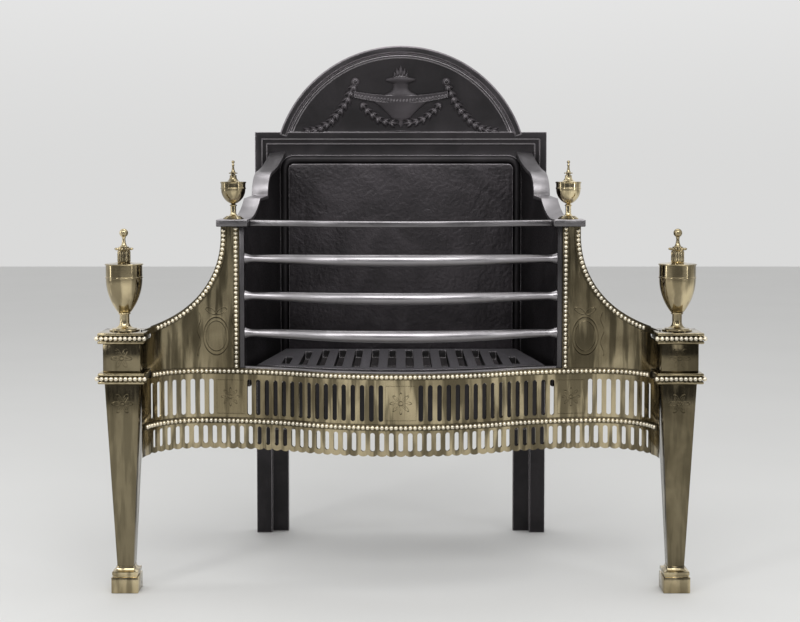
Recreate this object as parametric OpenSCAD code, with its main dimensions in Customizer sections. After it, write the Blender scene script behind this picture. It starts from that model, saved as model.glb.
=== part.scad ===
// Dog grate: a free-standing fire basket with an arched cast fireback, polished steel bars
// and a serpentine pierced fret that joins two tapered legs.
// X runs across the front, Y from front to back and Z up, in millimetres.
// The origin is on the floor, under the middle of the whole grate.

/* [Overall] */
// Width over the beaded caps of the front legs
overall_w = 900; // [860:5:960]
// Distance from the axis of the front legs to the face of the fireback
leg_to_back = 345; // [325:5:380]

/* [Front legs] */
// Height of a foot, from the floor to the tapered leg
foot_h = 39; // [34:1:46]
// Side of the square foot block
foot_w = 40; // [36:1:46]
// Height of the plain foot block below its mouldings
foot_block_h = 24; // [18:1:26]
// Height of the tapered leg
leg_h = 277; // [250:1:300]
// Side of the leg at its foot
leg_bottom_w = 24.5; // [22:0.5:30]
// Side of the leg under its cap
leg_top_w = 51.5; // [46:0.5:56]
// Side of a cap over its beads
cap_w = 76.8; // [74:0.2:82]
// Height of a cap
cap_h = 16; // [15:0.5:20]
// Side of the die block between the two caps
die_w = 55; // [50:0.5:58]
// Height of the die block
die_h = 43.5; // [36:0.5:52]
// Diameter of the tie rod inside a leg
rod_d = 8; // [6:0.5:9]
// Gap between a rod or bolt and the wall of its hole
hole_gap = 0.3; // [0.2:0.05:0.5]

/* [Beads] */
// Diameter of one bead
bead_d = 6.6; // [6:0.1:6.8]
// Distance from one bead to the next
bead_pitch = 7.05; // [7:0.05:8]
// Width of the strip that carries a row of beads
bead_strip_w = 9; // [8:0.5:11]
// Thickness of the strip that carries a row of beads
bead_strip_t = 2; // [1.5:0.1:3]

/* [Fret] */
// Depth of the serpentine, from its middle to its furthest point
fret_bow = 70; // [50:1:85]
// Radius of the corner that turns forward into the leg
corner_r = 81; // [70:1:90]
// Thickness of the brass sheet
sheet_t = 3; // [2:0.5:4]
// Height of the fret, with its scallops
fret_h = 125; // [120:1:135]
// Distance from one slot to the next along the fret
slot_pitch = 14.2; // [13:0.1:15]
// Width of a slot
slot_w = 7; // [5:0.1:8]
// Height of an upper slot
slot_h = 55; // [45:1:58]
// Distance from the top of the fret to the upper slots
slot_drop = 17; // [15:1:22]
// Height of a lower slot
low_slot_h = 28; // [20:1:30]
// Metal left between a lower slot and the tip of its scallop
scallop_rim = 7.8; // [6:0.2:10]
// Radius of a scallop of the lower edge
scallop_r = 10.5; // [8.5:0.5:14]
// Distance from the top of the fret to the lower beads
low_bead_drop = 81; // [79:1:88]
// Slots between the middle panel and a side panel
inner_slots = 16; // [12:1:17]
// Slots between a side panel and the leg
outer_slots = 8; // [6:1:8]
// Width of a plain panel between slots
panel_w = 53; // [40:1:60]

/* [Basket] */
// Clear width between the two standards
opening_w = 481; // [440:2:500]
// Height of the rail behind the top of the fret
rail_h = 16.5; // [14:0.5:22]
// Thickness of the rail
rail_t = 10; // [8:0.5:13]
// How far the rail stands above the top of the fret
rail_rise = 2.7; // [1:0.1:5]
// Height of a standard above the rail
standard_h = 216; // [190:1:240]
// Width of a standard
standard_w = 14; // [12:0.5:18]
// Depth of a standard behind the brass panel
standard_d = 24; // [20:1:28]
// Width of the polished edge of a standard that shows beside the panel
standard_lip = 7.5; // [5:0.5:9]
// Distance from the face of the fret to the middle of a bar
bar_set_back = 22; // [20:1:30]
// Depth of the bow of the bars
bar_bow = 62; // [45:1:70]
// Height of the lowest round bar above the rail
first_bar_h = 50.5; // [40:0.5:56]
// Distance from one round bar to the next
bar_pitch = 57.5; // [45:0.5:60]
// Diameter of a round bar at its middle
bar_mid_d = 19; // [14:0.5:22]
// Diameter of a round bar near its ends
bar_neck_d = 11; // [9:0.5:13]
// Diameter of the flared end of a round bar
bar_flare_d = 18; // [14:0.5:20]
// Length of the flare
bar_flare_l = 14; // [8:1:20]
// Diameter of the tenon at the end of a bar
tenon_d = 8; // [6:0.5:9]
// Height of the flat top bar
top_bar_h = 9; // [7:0.5:11]
// Depth of the flat top bar
top_bar_d = 16; // [12:1:22]

/* [Wings] */
// Radius of the sweep that the beads of a wing follow
sweep_r = 147; // [130:1:160]
// Distance from the inner edge of a wing to the upright beads of its sweep
sweep_top = 23.5; // [20:0.5:30]

/* [Small caps] */
// Side of the square steel cap on a standard
plate_w = 48; // [44:1:54]
// Thickness of the steel cap
plate_t = 11; // [8:0.5:14]
// How far the steel cap reaches over the opening
plate_overlap = 8; // [6:0.5:12]

/* [Cheeks] */
// Thickness of an iron cheek
cheek_t = 8; // [6:0.5:12]
// Width of the flange that bolts a cheek to the fireback
flange_w = 13.45; // [12:0.05:16]
// Height of the cheek's lower edge
cheek_bottom_z = 292; // [280:1:294]
// Width of the steel coping
coping_w = 27; // [22:1:32]
// Thickness of the steel coping
coping_t = 6; // [4:0.5:8]
// Width of the bearer under the grate
bearer_w = 22; // [18:1:28]
// Thickness of the bearer
bearer_t = 5; // [4:0.5:7]

/* [Hearth grate] */
// Height of the top of the hearth grate above the floor
grate_z = 323.5; // [316:0.5:326]
// Thickness of the hearth grate
grate_t = 14; // [10:0.5:16]
// Distance from one slot of the grate to the next
grate_pitch = 28.2; // [25:0.1:29]
// Width of a slot in the grate
grate_slot_w = 13; // [9:0.5:16]
// Slots in the grate
grate_slots = 14; // [10:2:14]
// Rim of the grate in front of and behind the slots
grate_rim = 20; // [14:1:26]
// Distance from the round bars to the front edge of the grate
grate_front_gap = 46; // [40:1:60]
// Gap between the grate and the pieces round it
grate_gap = 3; // [1.5:0.5:5]
// Length that the back corner slots are cut short
corner_cut = 92; // [60:1:100]

/* [Fireback] */
// Width of the fireback
fireback_w = 499.5; // [480:0.5:540]
// Height of the square shoulders
shoulder_z = 695; // [680:1:740]
// Width of the arch where it meets the shoulders
arch_w = 413; // [380:1:430]
// Height of the arch above the shoulders
arch_rise = 147; // [110:1:180]
// Thickness of the cast plate
fireback_t = 14; // [10:1:20]
// Height of the plate's lower edge above the floor
fireback_gap = 181; // [150:1:230]
// Width of a fireback leg
back_leg_w = 54; // [44:1:60]
// Width of the thick outer strip of a fireback leg
back_leg_rib_w = 26; // [20:1:32]
// Depth of a fireback leg
back_leg_d = 25; // [22:1:34]
// How far a back leg runs up behind the fireback
back_leg_lap = 120; // [90:5:150]
// Width of the rounded rim of the arch
rim_w = 13; // [10:0.5:16]
// Height that the mouldings stand up from the plate
moulding_h = 6; // [4:0.5:8]
// Distance from the shoulders to the raised bead of the frame
frame_inset = 47; // [42:1:54]
// Width of the raised bead of the frame
frame_bead_w = 14; // [10:1:18]
// Distance from the raised bead of the frame to a cheek
slab_gap = 2; // [1:0.25:6]
// Thickness of the fire slab
slab_t = 12; // [8:1:16]
// Radius of the slab's upper corners
slab_corner_r = 16; // [8:1:24]
// Diameter of a bolt through the fireback
bolt_d = 6; // [5:0.5:6.5]
// Width across the head of a bolt
bolt_head_w = 9; // [8:0.2:9.4]
// Thickness of the head of a bolt, and of its nut
bolt_head_h = 4; // [3:0.5:5]

/* [Large urns] */
// Height of a large urn without its lid
urn_h = 100; // [90:1:112]
// Diameter of the rim of a large urn
urn_d = 56.8; // [50:0.2:64]
// Diameter of the stem of a large urn
urn_stem_d = 14.4; // [13:0.2:17]
// Diameter of the neck of the lid
urn_neck_d = 20.8; // [17:0.2:24]
// Height of the neck of the lid
urn_neck_h = 18; // [14:0.5:22]

/* [Small urns] */
// Height of a small urn without its lid
small_urn_h = 56; // [50:1:62]
// Diameter of the rim of a small urn
small_urn_d = 40; // [34:0.5:44]
// Diameter of the stem of a small urn
small_urn_stem_d = 8.6; // [7.5:0.1:10]

/* [Hidden] */
$fn = 72;

// Colours of the metals
brass = [0.62, 0.56, 0.40];
steel = [0.66, 0.64, 0.67];
iron = [0.16, 0.15, 0.16];

// Places along the depth, with the front beads of the caps at the front of the grate
back_leg_set = 13;
depth = cap_w / 2 + leg_to_back + back_leg_d;
leg_y = -depth / 2 + cap_w / 2;
back_y = leg_y + leg_to_back;

// Heights of the column
cap_z = foot_h + leg_h;
die_z = cap_z + cap_h;
upper_cap_z = die_z + die_h;
urn_z = upper_cap_z + cap_h;

// Places across the width
leg_x = overall_w / 2 - cap_w / 2;
cap_plate_w = cap_w - bead_d - 2.2;
cap_side_x = leg_x - cap_plate_w / 2;
die_side_x = leg_x - die_w / 2;
leg_side_x = leg_x - leg_top_w / 2;
opening_x = opening_w / 2;

// The serpentine: two equal arcs on each side of the middle, then a corner into the leg
fret_front_y = leg_y + 2;
fret_back_y = fret_front_y + fret_bow;
serp_half = leg_side_x - corner_r;
function serp_r(half, bow) = (half * half + bow * bow) / (4 * bow);
fret_r = serp_r(serp_half, fret_bow);
degrees = 180 / PI;
fret_arc = asin(serp_half / 2 / fret_r) / degrees * fret_r;
fret_l = 2 * fret_arc + corner_r * PI / 2;

// The face of the fret at a length s along it from its middle: [x, y, direction].
// The direction is in degrees, and turns towards the back.
function front_at(s) =
    s < 0 ? let (p = front_at(-s)) [-p.x, p.y, -p.z]
    : s <= fret_arc ? let (a = s / fret_r * degrees)
        [fret_r * sin(a), fret_front_y + fret_r * (1 - cos(a)), a]
    : s <= 2 * fret_arc ? let (a = (2 * fret_arc - s) / fret_r * degrees)
        [serp_half - fret_r * sin(a), fret_back_y - fret_r * (1 - cos(a)), a]
    : let (a = (s - 2 * fret_arc) / corner_r * degrees)
        [serp_half + corner_r * sin(a), fret_back_y - corner_r * (1 - cos(a)), -a];

// The length along the face of the fret from its middle to x
function length_to(x) =
    x <= serp_half / 2 ? asin(x / fret_r) / degrees * fret_r
    : x <= serp_half ? 2 * fret_arc - asin((serp_half - x) / fret_r) / degrees * fret_r
    : 2 * fret_arc + asin((x - serp_half) / corner_r) / degrees * corner_r;

// A line at the distance out in front of that face, through the lengths given
function front_line(lengths, out) =
    [for (s = lengths) let (p = front_at(s)) [p.x + out * sin(p.z), p.y - out * cos(p.z)]];
function reversed(list) = [for (i = [len(list) - 1 : -1 : 0]) list[i]];

// Lengths from one end of the fret to the other, step by step from the middle
function lengths_by(step) = let (n = floor(fret_l / step))
    concat([-fret_l], [for (i = [-n : n]) i * step], [fret_l]);
sheet_lengths = lengths_by(slot_pitch / 3);

// The middle line of the bars
bar_front_y = fret_front_y + bar_set_back;
bar_r = serp_r(serp_half, bar_bow);
function bar_y(x) = bar_front_y + (abs(x) <= serp_half / 2 ? bar_r - sqrt(bar_r * bar_r - x * x)
    : bar_bow - bar_r + sqrt(bar_r * bar_r - pow(serp_half - abs(x), 2)));
function bar_direction(x) = asin(min(abs(x), serp_half - abs(x)) / bar_r);

// Heights of the fret, rail and basket
fret_top_z = cap_z + cap_h - 6;
fret_bottom_z = fret_top_z - fret_h;
rail_z = fret_top_z + rail_rise;
plate_z = rail_z + standard_h;

// The wings
wing_x = opening_x + standard_lip;
sweep_x = wing_x + sweep_top + sweep_r;
sweep_end_x = cap_side_x - bead_d / 2;
sweep_z = urn_z + sqrt(pow(sweep_r, 2) - pow(sweep_x - sweep_end_x, 2));
sweep_edge_r = sweep_r - bead_strip_w / 2;

// The small caps and their urns
plate_x = opening_x - plate_overlap + plate_w / 2;
plate_y = front_at(length_to(wing_x)).y + 2;
small_urn_tenon_d = 6;
small_urn_tenon_h = 7;

// Across the fireback: its moulded band, the flange of a cheek, the cheek, the raised bead and the slab
band_w = 12;
band_step_w = 8;
flange_x = fireback_w / 2 - band_w - band_step_w - hole_gap;
cheek_back_x = flange_x - flange_w - cheek_t / 2;
slab_w = 2 * (cheek_back_x - cheek_t / 2 - slab_gap - frame_bead_w);

// The cheeks, which splay from the fireback to the standards
slab_front_y = back_y - slab_t;
standard_back_y = front_at(length_to(opening_x + standard_w / 2)).y + sheet_t + standard_d;
plate_back_y = plate_y + plate_w / 2;
cheek_run = back_y - standard_back_y;
cheek_splay = atan2(opening_x + standard_w / 2 - cheek_back_x, cheek_run);
cheek_l = cheek_run / cos(cheek_splay);
coping_l = (back_y - plate_back_y) / cos(cheek_splay);
// Length beyond each end of a cheek and coping, which is cut off square to the grate
end_cut = 4;

// The fireback
arch_r = (pow(arch_w / 2, 2) + pow(arch_rise, 2)) / (2 * arch_rise);
arch_z = shoulder_z + arch_rise - arch_r;
arch_half_angle = asin(arch_w / 2 / arch_r);
frame_z = shoulder_z - frame_inset;
frame_half_w = slab_w / 2 + frame_bead_w / 2 + hole_gap;
frame_bottom_z = cheek_bottom_z - 20;
// How far the rim stands out past the plate's edge, and how far its ends run into the shoulders, in degrees
rim_lap = 1;
rim_end = 0.8;

// The flange that bolts a cheek to the fireback, between the cheek and the frame
flange_t = 6;
flange_top_z = frame_z - 10;
bolt_x = (cheek_back_x + cheek_t / 2 + flange_x) / 2;
bolt_zs = [for (part = [0.28, 0.78]) cheek_bottom_z + part * (flange_top_z - cheek_bottom_z)];

module left() mirror([1, 0, 0]) children();

// A block between two opposite corners
module block(from, to) translate(from) cube(to - from);

// A square column whose four sides all have the profile given, drawn as half a section
module square_profile(w) {
    intersection() {
        rotate([90, 0, 0]) linear_extrude(height = w, center = true) both_halves() children();
        rotate([90, 0, 90]) linear_extrude(height = w, center = true) both_halves() children();
    }
}

module both_halves() {
    children();
    mirror([1, 0]) children();
}

// A hole for a rod or bolt of diameter d along Z
module hole(d, h) cylinder(d = d + 2 * hole_gap, h = h);

// A strip that follows the face of the fret from leg to leg.
// It lies between the distances near and far in front of that face, from z0 up to z1.
module front_strip(near, far, z0, z1, lengths = sheet_lengths) {
    translate([0, 0, z0]) linear_extrude(height = z1 - z0)
        polygon(concat(front_line(lengths, near), reversed(front_line(lengths, far))));
}

// Moves its children to a length s along the face of the fret, with +X along it and -Y out of it
module on_front(s) {
    p = front_at(s);
    translate([p.x, p.y, 0]) rotate([0, 0, p.z]) children();
}

// Everything between two values of x, and of y where they are given
module between(x0, x1, y0 = -depth, y1 = depth) {
    intersection() {
        children();
        block([x0, y0, 0], [x1, y1, 2 * shoulder_z]);
    }
}

// The strips that carry the beads lie this far off the sheet, which their facets don't match
bead_strip_gap = 0.1;
// A bead stands a little more than half out of the strip that carries it.
// It points along -Y, with a flat root that ends inside the strip.
bead_lift = 0.6;
bead_out = bead_strip_t + bead_lift;
bead_root = 1.6;
module bead() rotate([90, 0, 0]) dome(bead_d / 2, bead_root);

// The upper part of a ball round the origin, down to the depth of its flat root
module dome(r, root) rotate_extrude($fn = 24) intersection() {
    circle(r = r);
    translate([0, -root]) square([r, r + root]);
}

// A row of beads on its strip, from one end of the fret to the other
module fret_beading(end_x, z) {
    count = floor((length_to(end_x) - bead_d / 2) / bead_pitch);
    half_steps = [for (i = [-count - 1 : count]) (i + 0.5) * bead_pitch];
    lengths = concat([-fret_l], half_steps, [fret_l]);
    between(-end_x, end_x)
        front_strip(bead_strip_gap, bead_strip_t, z - bead_strip_w / 2, z + bead_strip_w / 2, lengths);
    for (i = [-count : count]) on_front(i * bead_pitch) translate([0, -bead_out, z]) bead();
}

module foot() color(brass) {
    fillet_h = 3;
    band_h = 5;
    cove_z = foot_block_h + fillet_h + band_h;
    cove_h = foot_h - cove_z;
    cove_w = (foot_w - 2 - leg_bottom_w) / 2;
    translate([leg_x, leg_y, 0]) difference() {
        square_profile(foot_w) {
            square([foot_w / 2, foot_block_h]);
            square([foot_w / 2 - 2.5, cove_z]);
            translate([0, foot_block_h + fillet_h]) square([foot_w / 2 - 1, band_h]);
            square([leg_bottom_w / 2, foot_h]);
            translate([leg_bottom_w / 2, cove_z]) cove(cove_w * 0.8, cove_h);
        }
        translate([0, 0, foot_block_h / 2]) hole(rod_d, foot_h);
    }
}

// A hollow quarter round that fills the corner between a floor and a wall
module cove(w, h) {
    r = min(w, h);
    difference() {
        square([r, r]);
        translate([r, r]) circle(r = r);
    }
}

module leg() color(brass) {
    b = leg_bottom_w / 2;
    t = leg_top_w / 2;
    translate([leg_x, leg_y, foot_h]) difference() {
        polyhedron(
            points = [
                for (level = [[b, 0], [t, leg_h]])
                    for (c = [[-1, -1], [1, -1], [1, 1], [-1, 1]])
                        [c.x * level[0], c.y * level[0], level[1]]
            ],
            faces = [
                [3, 2, 1, 0], [4, 5, 6, 7], [0, 1, 5, 4], [1, 2, 6, 5], [2, 3, 7, 6], [3, 0, 4, 7]
            ]
        );
        translate([0, 0, -1]) hole(rod_d, leg_h + 2);
    }
}

// A moulded cap with beads along its front and its outer side
module cap(z) color(brass) {
    half = cap_plate_w / 2;
    row = cap_w / 2 - bead_d / 2;
    bead_z = cap_h - 8;
    count = floor(2 * row / bead_pitch + 0.1);
    pitch = 2 * row / count;
    translate([leg_x, leg_y, z]) difference() {
        union() {
            square_profile(cap_w) {
                square([half - 2, cap_h]);
                square([half, bead_z - bead_d / 2 - 0.5]);
                translate([0, bead_z + bead_d / 2 + 0.5])
                    square([half, cap_h - bead_z - bead_d / 2 - 0.5]);
            }
            for (i = [0 : count]) translate([-row + i * pitch, -row, bead_z]) bead();
            for (i = [1 : count]) translate([row, -row + i * pitch, bead_z]) rotate([0, 0, 90]) bead();
            block([-row, -row, bead_z - 1], [row, 3 - half, bead_z + 1]);
            block([half - 3, -row, bead_z - 1], [row, row, bead_z + 1]);
        }
        translate([0, 0, -1]) hole(rod_d, cap_h + 2);
    }
}

module die() color(brass) {
    translate([leg_x, leg_y, die_z]) difference() {
        translate([-die_w / 2, -die_w / 2, 0]) cube([die_w, die_w, die_h]);
        translate([0, 0, -1]) hole(rod_d, die_h + 2);
    }
}

// The rod that ties foot, leg, caps, die and urn together
module tie_rod() color(iron) {
    bottom = foot_block_h / 2;
    translate([leg_x, leg_y, bottom]) cylinder(d = rod_d, h = urn_z + rod_in_urn - bottom);
}
rod_in_urn = 8;

module large_urn() color(brass) {
    r = urn_d / 2;
    stem_r = urn_stem_d / 2;
    bowl_z = 28;
    drum_z = urn_h - 20;
    foot_r = r * 0.785;
    translate([leg_x, leg_y, urn_z]) difference() {
        rotate_extrude() {
            square([foot_r, 2.6]);
            square([foot_r - 4, 4.4]);
            square([stem_r, bowl_z]);
            translate([stem_r, 4.4]) cove(foot_r - 6 - stem_r, 10);
            translate([0, bowl_z - 3]) square([stem_r + 1.8, 2]);
            bowl_section(r - 1.4, stem_r + 1.2, bowl_z, drum_z);
            translate([0, drum_z]) square([r - 1.4, 18.5]);
            translate([0, drum_z - 1.2]) square([r - 0.6, 2.4]);
            translate([0, urn_h - 1.5]) square([r, 1.5]);
        }
        translate([0, 0, -1]) hole(rod_d, rod_in_urn + 1.3);
    }
}

// Half the section of a bowl: an arc that stands upright at its rim
module bowl_section(rim_r, foot_r, z0, z1) {
    h = z1 - z0;
    w = rim_r - foot_r;
    arc_r = (w * w + h * h) / (2 * w);
    intersection() {
        translate([rim_r - arc_r, z1]) circle(r = arc_r, $fn = 180);
        translate([0, z0]) square([rim_r, h]);
    }
}

module large_urn_lid() color(brass) {
    neck_r = urn_neck_d / 2;
    collar_z = 2.5 + urn_neck_h;
    ball_r = 6.5;
    beads = 18;
    ball_z = collar_z + 25.5;
    collar_r = neck_r + 2.6;
    translate([leg_x, leg_y, urn_z + urn_h]) {
        rotate_extrude() {
            polygon([[0, 0], [urn_d / 2 - 1, 0], [neck_r, 2.5], [0, 2.5]]);
            square([neck_r, collar_z + 1]);
            translate([0, collar_z + 3.6]) square([neck_r - 2.6, 1.4]);
            polygon([
                [0, collar_z + 5], [6, collar_z + 5], [3.4, collar_z + 9], [2.4, collar_z + 15],
                [3.2, collar_z + 20], [0, collar_z + 22]
            ]);
        }
        translate([0, 0, collar_z]) linear_extrude(height = 3.6)
            polygon([for (i = [0 : beads - 1]) let (a = 360 * (i + 0.5) / beads)
                (collar_r - 1) * [cos(a), sin(a)]]);
        for (i = [0 : beads - 1]) rotate([0, 0, 360 * i / beads])
            translate([collar_r - 0.8, 0, collar_z + 1.8]) rotate([0, 90, 0]) dome(1.7, 1.2);
        translate([0, 0, ball_z]) sphere(r = ball_r);
    }
}

module small_urn() color(brass) {
    r = small_urn_d / 2;
    stem_r = small_urn_stem_d / 2;
    bowl_z = 23;
    drum_z = small_urn_h - 9;
    foot_r = r * 0.78;
    translate([plate_x, plate_y, plate_z + plate_t]) {
        rotate_extrude() {
            square([foot_r, 2]);
            square([foot_r - 2, 3.6]);
            square([foot_r - 4.4, 5]);
            square([stem_r, bowl_z + 2]);
            translate([stem_r, 5]) cove(foot_r - 6.5 - stem_r, 8);
            translate([0, bowl_z - 3]) square([stem_r + 1.2, 1.6]);
            bowl_section(r - 1.4, stem_r + 1, bowl_z, drum_z);
            translate([0, drum_z]) square([r - 1.2, 8]);
            translate([0, drum_z - 0.8]) square([r - 0.6, 1.8]);
            translate([0, small_urn_h - 1.2]) square([r, 1.2]);
        }
        translate([0, 0, -small_urn_tenon_h]) cylinder(d = small_urn_tenon_d, h = small_urn_tenon_h + 1);
    }
}

module small_urn_lid() color(brass) {
    r = small_urn_d / 2;
    flare = r - 5.5;
    knob_r = 2.5;
    translate([plate_x, plate_y, plate_z + plate_t + small_urn_h]) {
        rotate_extrude() {
            square([r - 0.6, 1.2]);
            square([5.2, 11]);
            translate([5.2, 1.2]) cove(flare - 1, 9);
            translate([0, 11]) square([3.4, 3]);
            translate([0, 13.4]) square([6.6, 1.6]);
            polygon([[0, 15], [4, 15], [2.2, 19], [1.5, 24], [2.2, 26.5], [1.2, 29], [0, 29.4]]);
        }
        translate([0, 0, 29.4 + knob_r - 0.7]) sphere(r = knob_r);
    }
}

// The pierced fret: two tiers of slots round plain panels, over a scalloped edge
module fret() color(brass) {
    slot_z = fret_top_z - slot_drop - slot_h;
    first = panel_w / 2 + slot_w / 2;
    outer_first = first + (inner_slots - 1) * slot_pitch + slot_w + panel_w;
    upper = concat(
        [for (i = [0 : inner_slots - 1]) first + i * slot_pitch],
        [for (i = [0 : outer_slots - 1]) outer_first + i * slot_pitch]
    );
    low_count = floor((length_to(leg_side_x - slot_w) - slot_w) / slot_pitch);
    difference() {
        union() {
            between(-leg_side_x, leg_side_x) front_strip(-sheet_t, 0, fret_bottom_z, cap_z);
            between(-cap_side_x, cap_side_x) front_strip(-sheet_t, 0, cap_z, fret_top_z);
        }
        for (s = upper) for (side = [-1, 1]) on_front(side * s) slot(slot_z, slot_h);
        for (i = [-low_count : low_count])
            on_front(i * slot_pitch) slot(fret_bottom_z + scallop_rim, low_slot_h);
        for (i = [-low_count : low_count + 1]) on_front((i - 0.5) * slot_pitch) scallop_gap();
    }
}

// A slot with round ends through the sheet
module slot(z, h) {
    r = slot_w / 2;
    translate([0, sheet_t + 1, z]) rotate([90, 0, 0]) linear_extrude(height = sheet_t + 2) {
        translate([-r, r]) square([slot_w, h - slot_w]);
        for (end_z = [r, h - r]) translate([0, end_z]) circle(r = r);
    }
}

// The notch between two scallops of the lower edge
module scallop_gap() {
    translate([0, sheet_t + 1, fret_bottom_z]) rotate([90, 0, 0])
        linear_extrude(height = sheet_t + 2) difference() {
            translate([-slot_pitch / 2, -1]) square([slot_pitch, scallop_r]);
            for (side = [-1, 1]) translate([side * slot_pitch / 2, scallop_r]) circle(r = scallop_r);
        }
}

module fret_upper_beading() color(brass) {
    fret_beading(cap_side_x, fret_top_z - bead_strip_w / 2);
}

module fret_lower_beading() color(brass) {
    fret_beading(leg_side_x - 1, fret_top_z - low_bead_drop);
}

// The rail that carries the fret, the wings and the standards, and is the basket's bottom bar
module rail() color(steel) {
    difference() {
        between(-die_side_x, die_side_x)
            front_strip(-sheet_t - rail_t, -sheet_t, rail_z - rail_h, rail_z);
        for (side = [-1, 1]) translate([side * leg_x, leg_y, rail_z])
            cube([cap_plate_w, cap_plate_w, 2 * cap_z], center = true);
    }
}

// The area of a wing, seen from the front, that lies outside a sweep of radius r
module wing_outline(r) {
    difference() {
        union() {
            translate([wing_x, fret_top_z]) square([cap_side_x - wing_x, plate_z - fret_top_z]);
            translate([wing_x, die_z]) square([die_side_x - wing_x, die_h]);
        }
        translate([sweep_x, sweep_z]) circle(r = r, $fn = 180);
        translate([sweep_x - r, sweep_z]) square([2 * r, plate_z]);
    }
}

// Keeps what lies inside an outline drawn as seen from the front
module seen_from_front() {
    translate([0, depth, 0]) rotate([90, 0, 0]) linear_extrude(height = 2 * depth) children();
}

module wing_panel() color(brass) {
    intersection() {
        front_strip(-sheet_t, 0, fret_top_z, plate_z);
        seen_from_front() wing_outline(sweep_edge_r);
    }
}

// Places round the sweep at angle a, and the angles that space the beads evenly along it
function sweep_x_at(a) = sweep_x + sweep_r * cos(a);
function sweep_step(a) =
    let (across = tan(front_at(length_to(sweep_x_at(a))).z) * sin(a))
    bead_pitch / sweep_r * degrees / sqrt(1 + across * across);
function sweep_angles(a) =
    sweep_x_at(a) > sweep_end_x - bead_d / 2 ? [] : concat([a], sweep_angles(a + sweep_step(a)));

module wing_sweep_beading() color(brass) {
    angles = sweep_angles(180);
    edge_x = sweep_x - sweep_edge_r;
    lengths = concat(
        [length_to(edge_x - bead_d)],
        [for (a = angles) length_to(sweep_x_at(a + sweep_step(a) / 2))],
        [fret_l]
    );
    intersection() {
        front_strip(bead_strip_gap, bead_strip_t, upper_cap_z, plate_z, lengths);
        seen_from_front() difference() {
            wing_outline(sweep_edge_r);
            difference() {
                translate([0, fret_top_z]) square([2 * leg_x, plate_z]);
                translate([sweep_x, sweep_z]) circle(r = sweep_edge_r + bead_strip_w, $fn = 180);
                translate([edge_x - bead_strip_w, sweep_z]) square([leg_x, plate_z]);
            }
        }
    }
    for (a = angles) on_front(length_to(sweep_x_at(a)))
        translate([0, -bead_out, sweep_z + sweep_r * sin(a)]) bead();
    upright = floor((plate_z - sweep_z - bead_d / 2) / bead_pitch);
    for (i = [1 : 1 : upright]) on_front(length_to(sweep_x_at(180)))
        translate([0, -bead_out, sweep_z + i * bead_pitch]) bead();
}

module wing_inner_beading() color(brass) {
    first_z = fret_top_z + bead_d / 2 + 0.3;
    count = floor((plate_z - bead_d / 2 - first_z) / bead_pitch);
    on_front(length_to(wing_x + bead_strip_w / 2)) {
        block(
            [-bead_strip_w / 2, -bead_strip_t, fret_top_z],
            [bead_strip_w / 2, -bead_strip_gap, plate_z]
        );
        for (i = [0 : count]) translate([0, -bead_out, first_z + i * bead_pitch]) bead();
    }
}

// The upright that holds the bar ends, rebated for the brass panel
module standard() color(steel) {
    outer_x = opening_x + standard_w;
    difference() {
        union() {
            between(opening_x, outer_x, -depth, standard_back_y)
                front_strip(-sheet_t - 2 * standard_d, -sheet_t, rail_z, plate_z);
            between(opening_x, wing_x) front_strip(-sheet_t, 0, fret_top_z, plate_z);
        }
        for (z = bar_zs) translate([opening_x - 1, bar_y(opening_x), z])
            rotate([0, 90, 0]) hole(tenon_d, standard_w + 2);
    }
}

module standard_cap() color(steel) {
    translate([plate_x, plate_y, plate_z]) difference() {
        translate([-plate_w / 2, -plate_w / 2, 0]) cube([plate_w, plate_w, plate_t]);
        translate([0, 0, plate_t - small_urn_tenon_h - hole_gap]) hole(small_urn_tenon_d, plate_t);
    }
}

// The flat bar between the two steel caps
module top_bar() color(steel) {
    end_x = plate_x - plate_w / 2;
    steps = 24;
    xs = [for (i = [0 : steps]) end_x * (2 * i / steps - 1)];
    translate([0, 0, plate_z + plate_t - 2 - top_bar_h]) linear_extrude(height = top_bar_h)
        polygon(concat(
            [for (x = xs) [x, bar_y(x) - top_bar_d / 2]],
            [for (i = [steps : -1 : 0]) [xs[i], bar_y(xs[i]) + top_bar_d / 2]]
        ));
}

bar_zs = [for (i = [0 : 2]) rail_z + first_bar_h + i * bar_pitch];

// Radius of a round bar at x: it swells in the middle and flares at its ends
function bar_radius(x) =
    let (swell = (bar_mid_d - bar_neck_d) / 2 * cos(90 * abs(x) / opening_x))
    let (flare = max(0, abs(x) - opening_x + bar_flare_l) / bar_flare_l)
    bar_neck_d / 2 + swell + (bar_flare_d - bar_neck_d) / 2 * flare * flare;

module fire_bar(i) color(steel) {
    sides = 16;
    coarse = [for (t = [-12 : 12]) t / 12 * (opening_x - bar_flare_l)];
    flare_steps = [for (t = [1 : 3]) opening_x - bar_flare_l * (1 - t / 3)];
    xs = concat([for (t = [2 : -1 : 0]) -flare_steps[t]], coarse, flare_steps);
    last = len(xs) - 1;
    points = [
        for (x = xs) for (k = [0 : sides - 1])
            let (r = bar_radius(x), a = 360 * k / sides)
            [x, bar_y(x) + r * cos(a) / cos(bar_direction(x)), bar_zs[i] + r * sin(a)]
    ];
    faces = concat(
        [[for (k = [0 : sides - 1]) k]],
        [for (j = [0 : last - 1]) for (k = [0 : sides - 1])
            let (n = (k + 1) % sides, here = j * sides, next = here + sides)
            each [[here + k, next + k, here + n], [here + n, next + k, next + n]]],
        [[for (k = [sides - 1 : -1 : 0]) last * sides + k]]
    );
    polyhedron(points = points, faces = faces, convexity = 4);
    for (side = [0, 1]) mirror([side, 0, 0])
        translate([opening_x - 1, bar_y(opening_x), bar_zs[i]])
            rotate([0, 90, 0]) cylinder(d = tenon_d, h = standard_w + 1);
}

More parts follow.
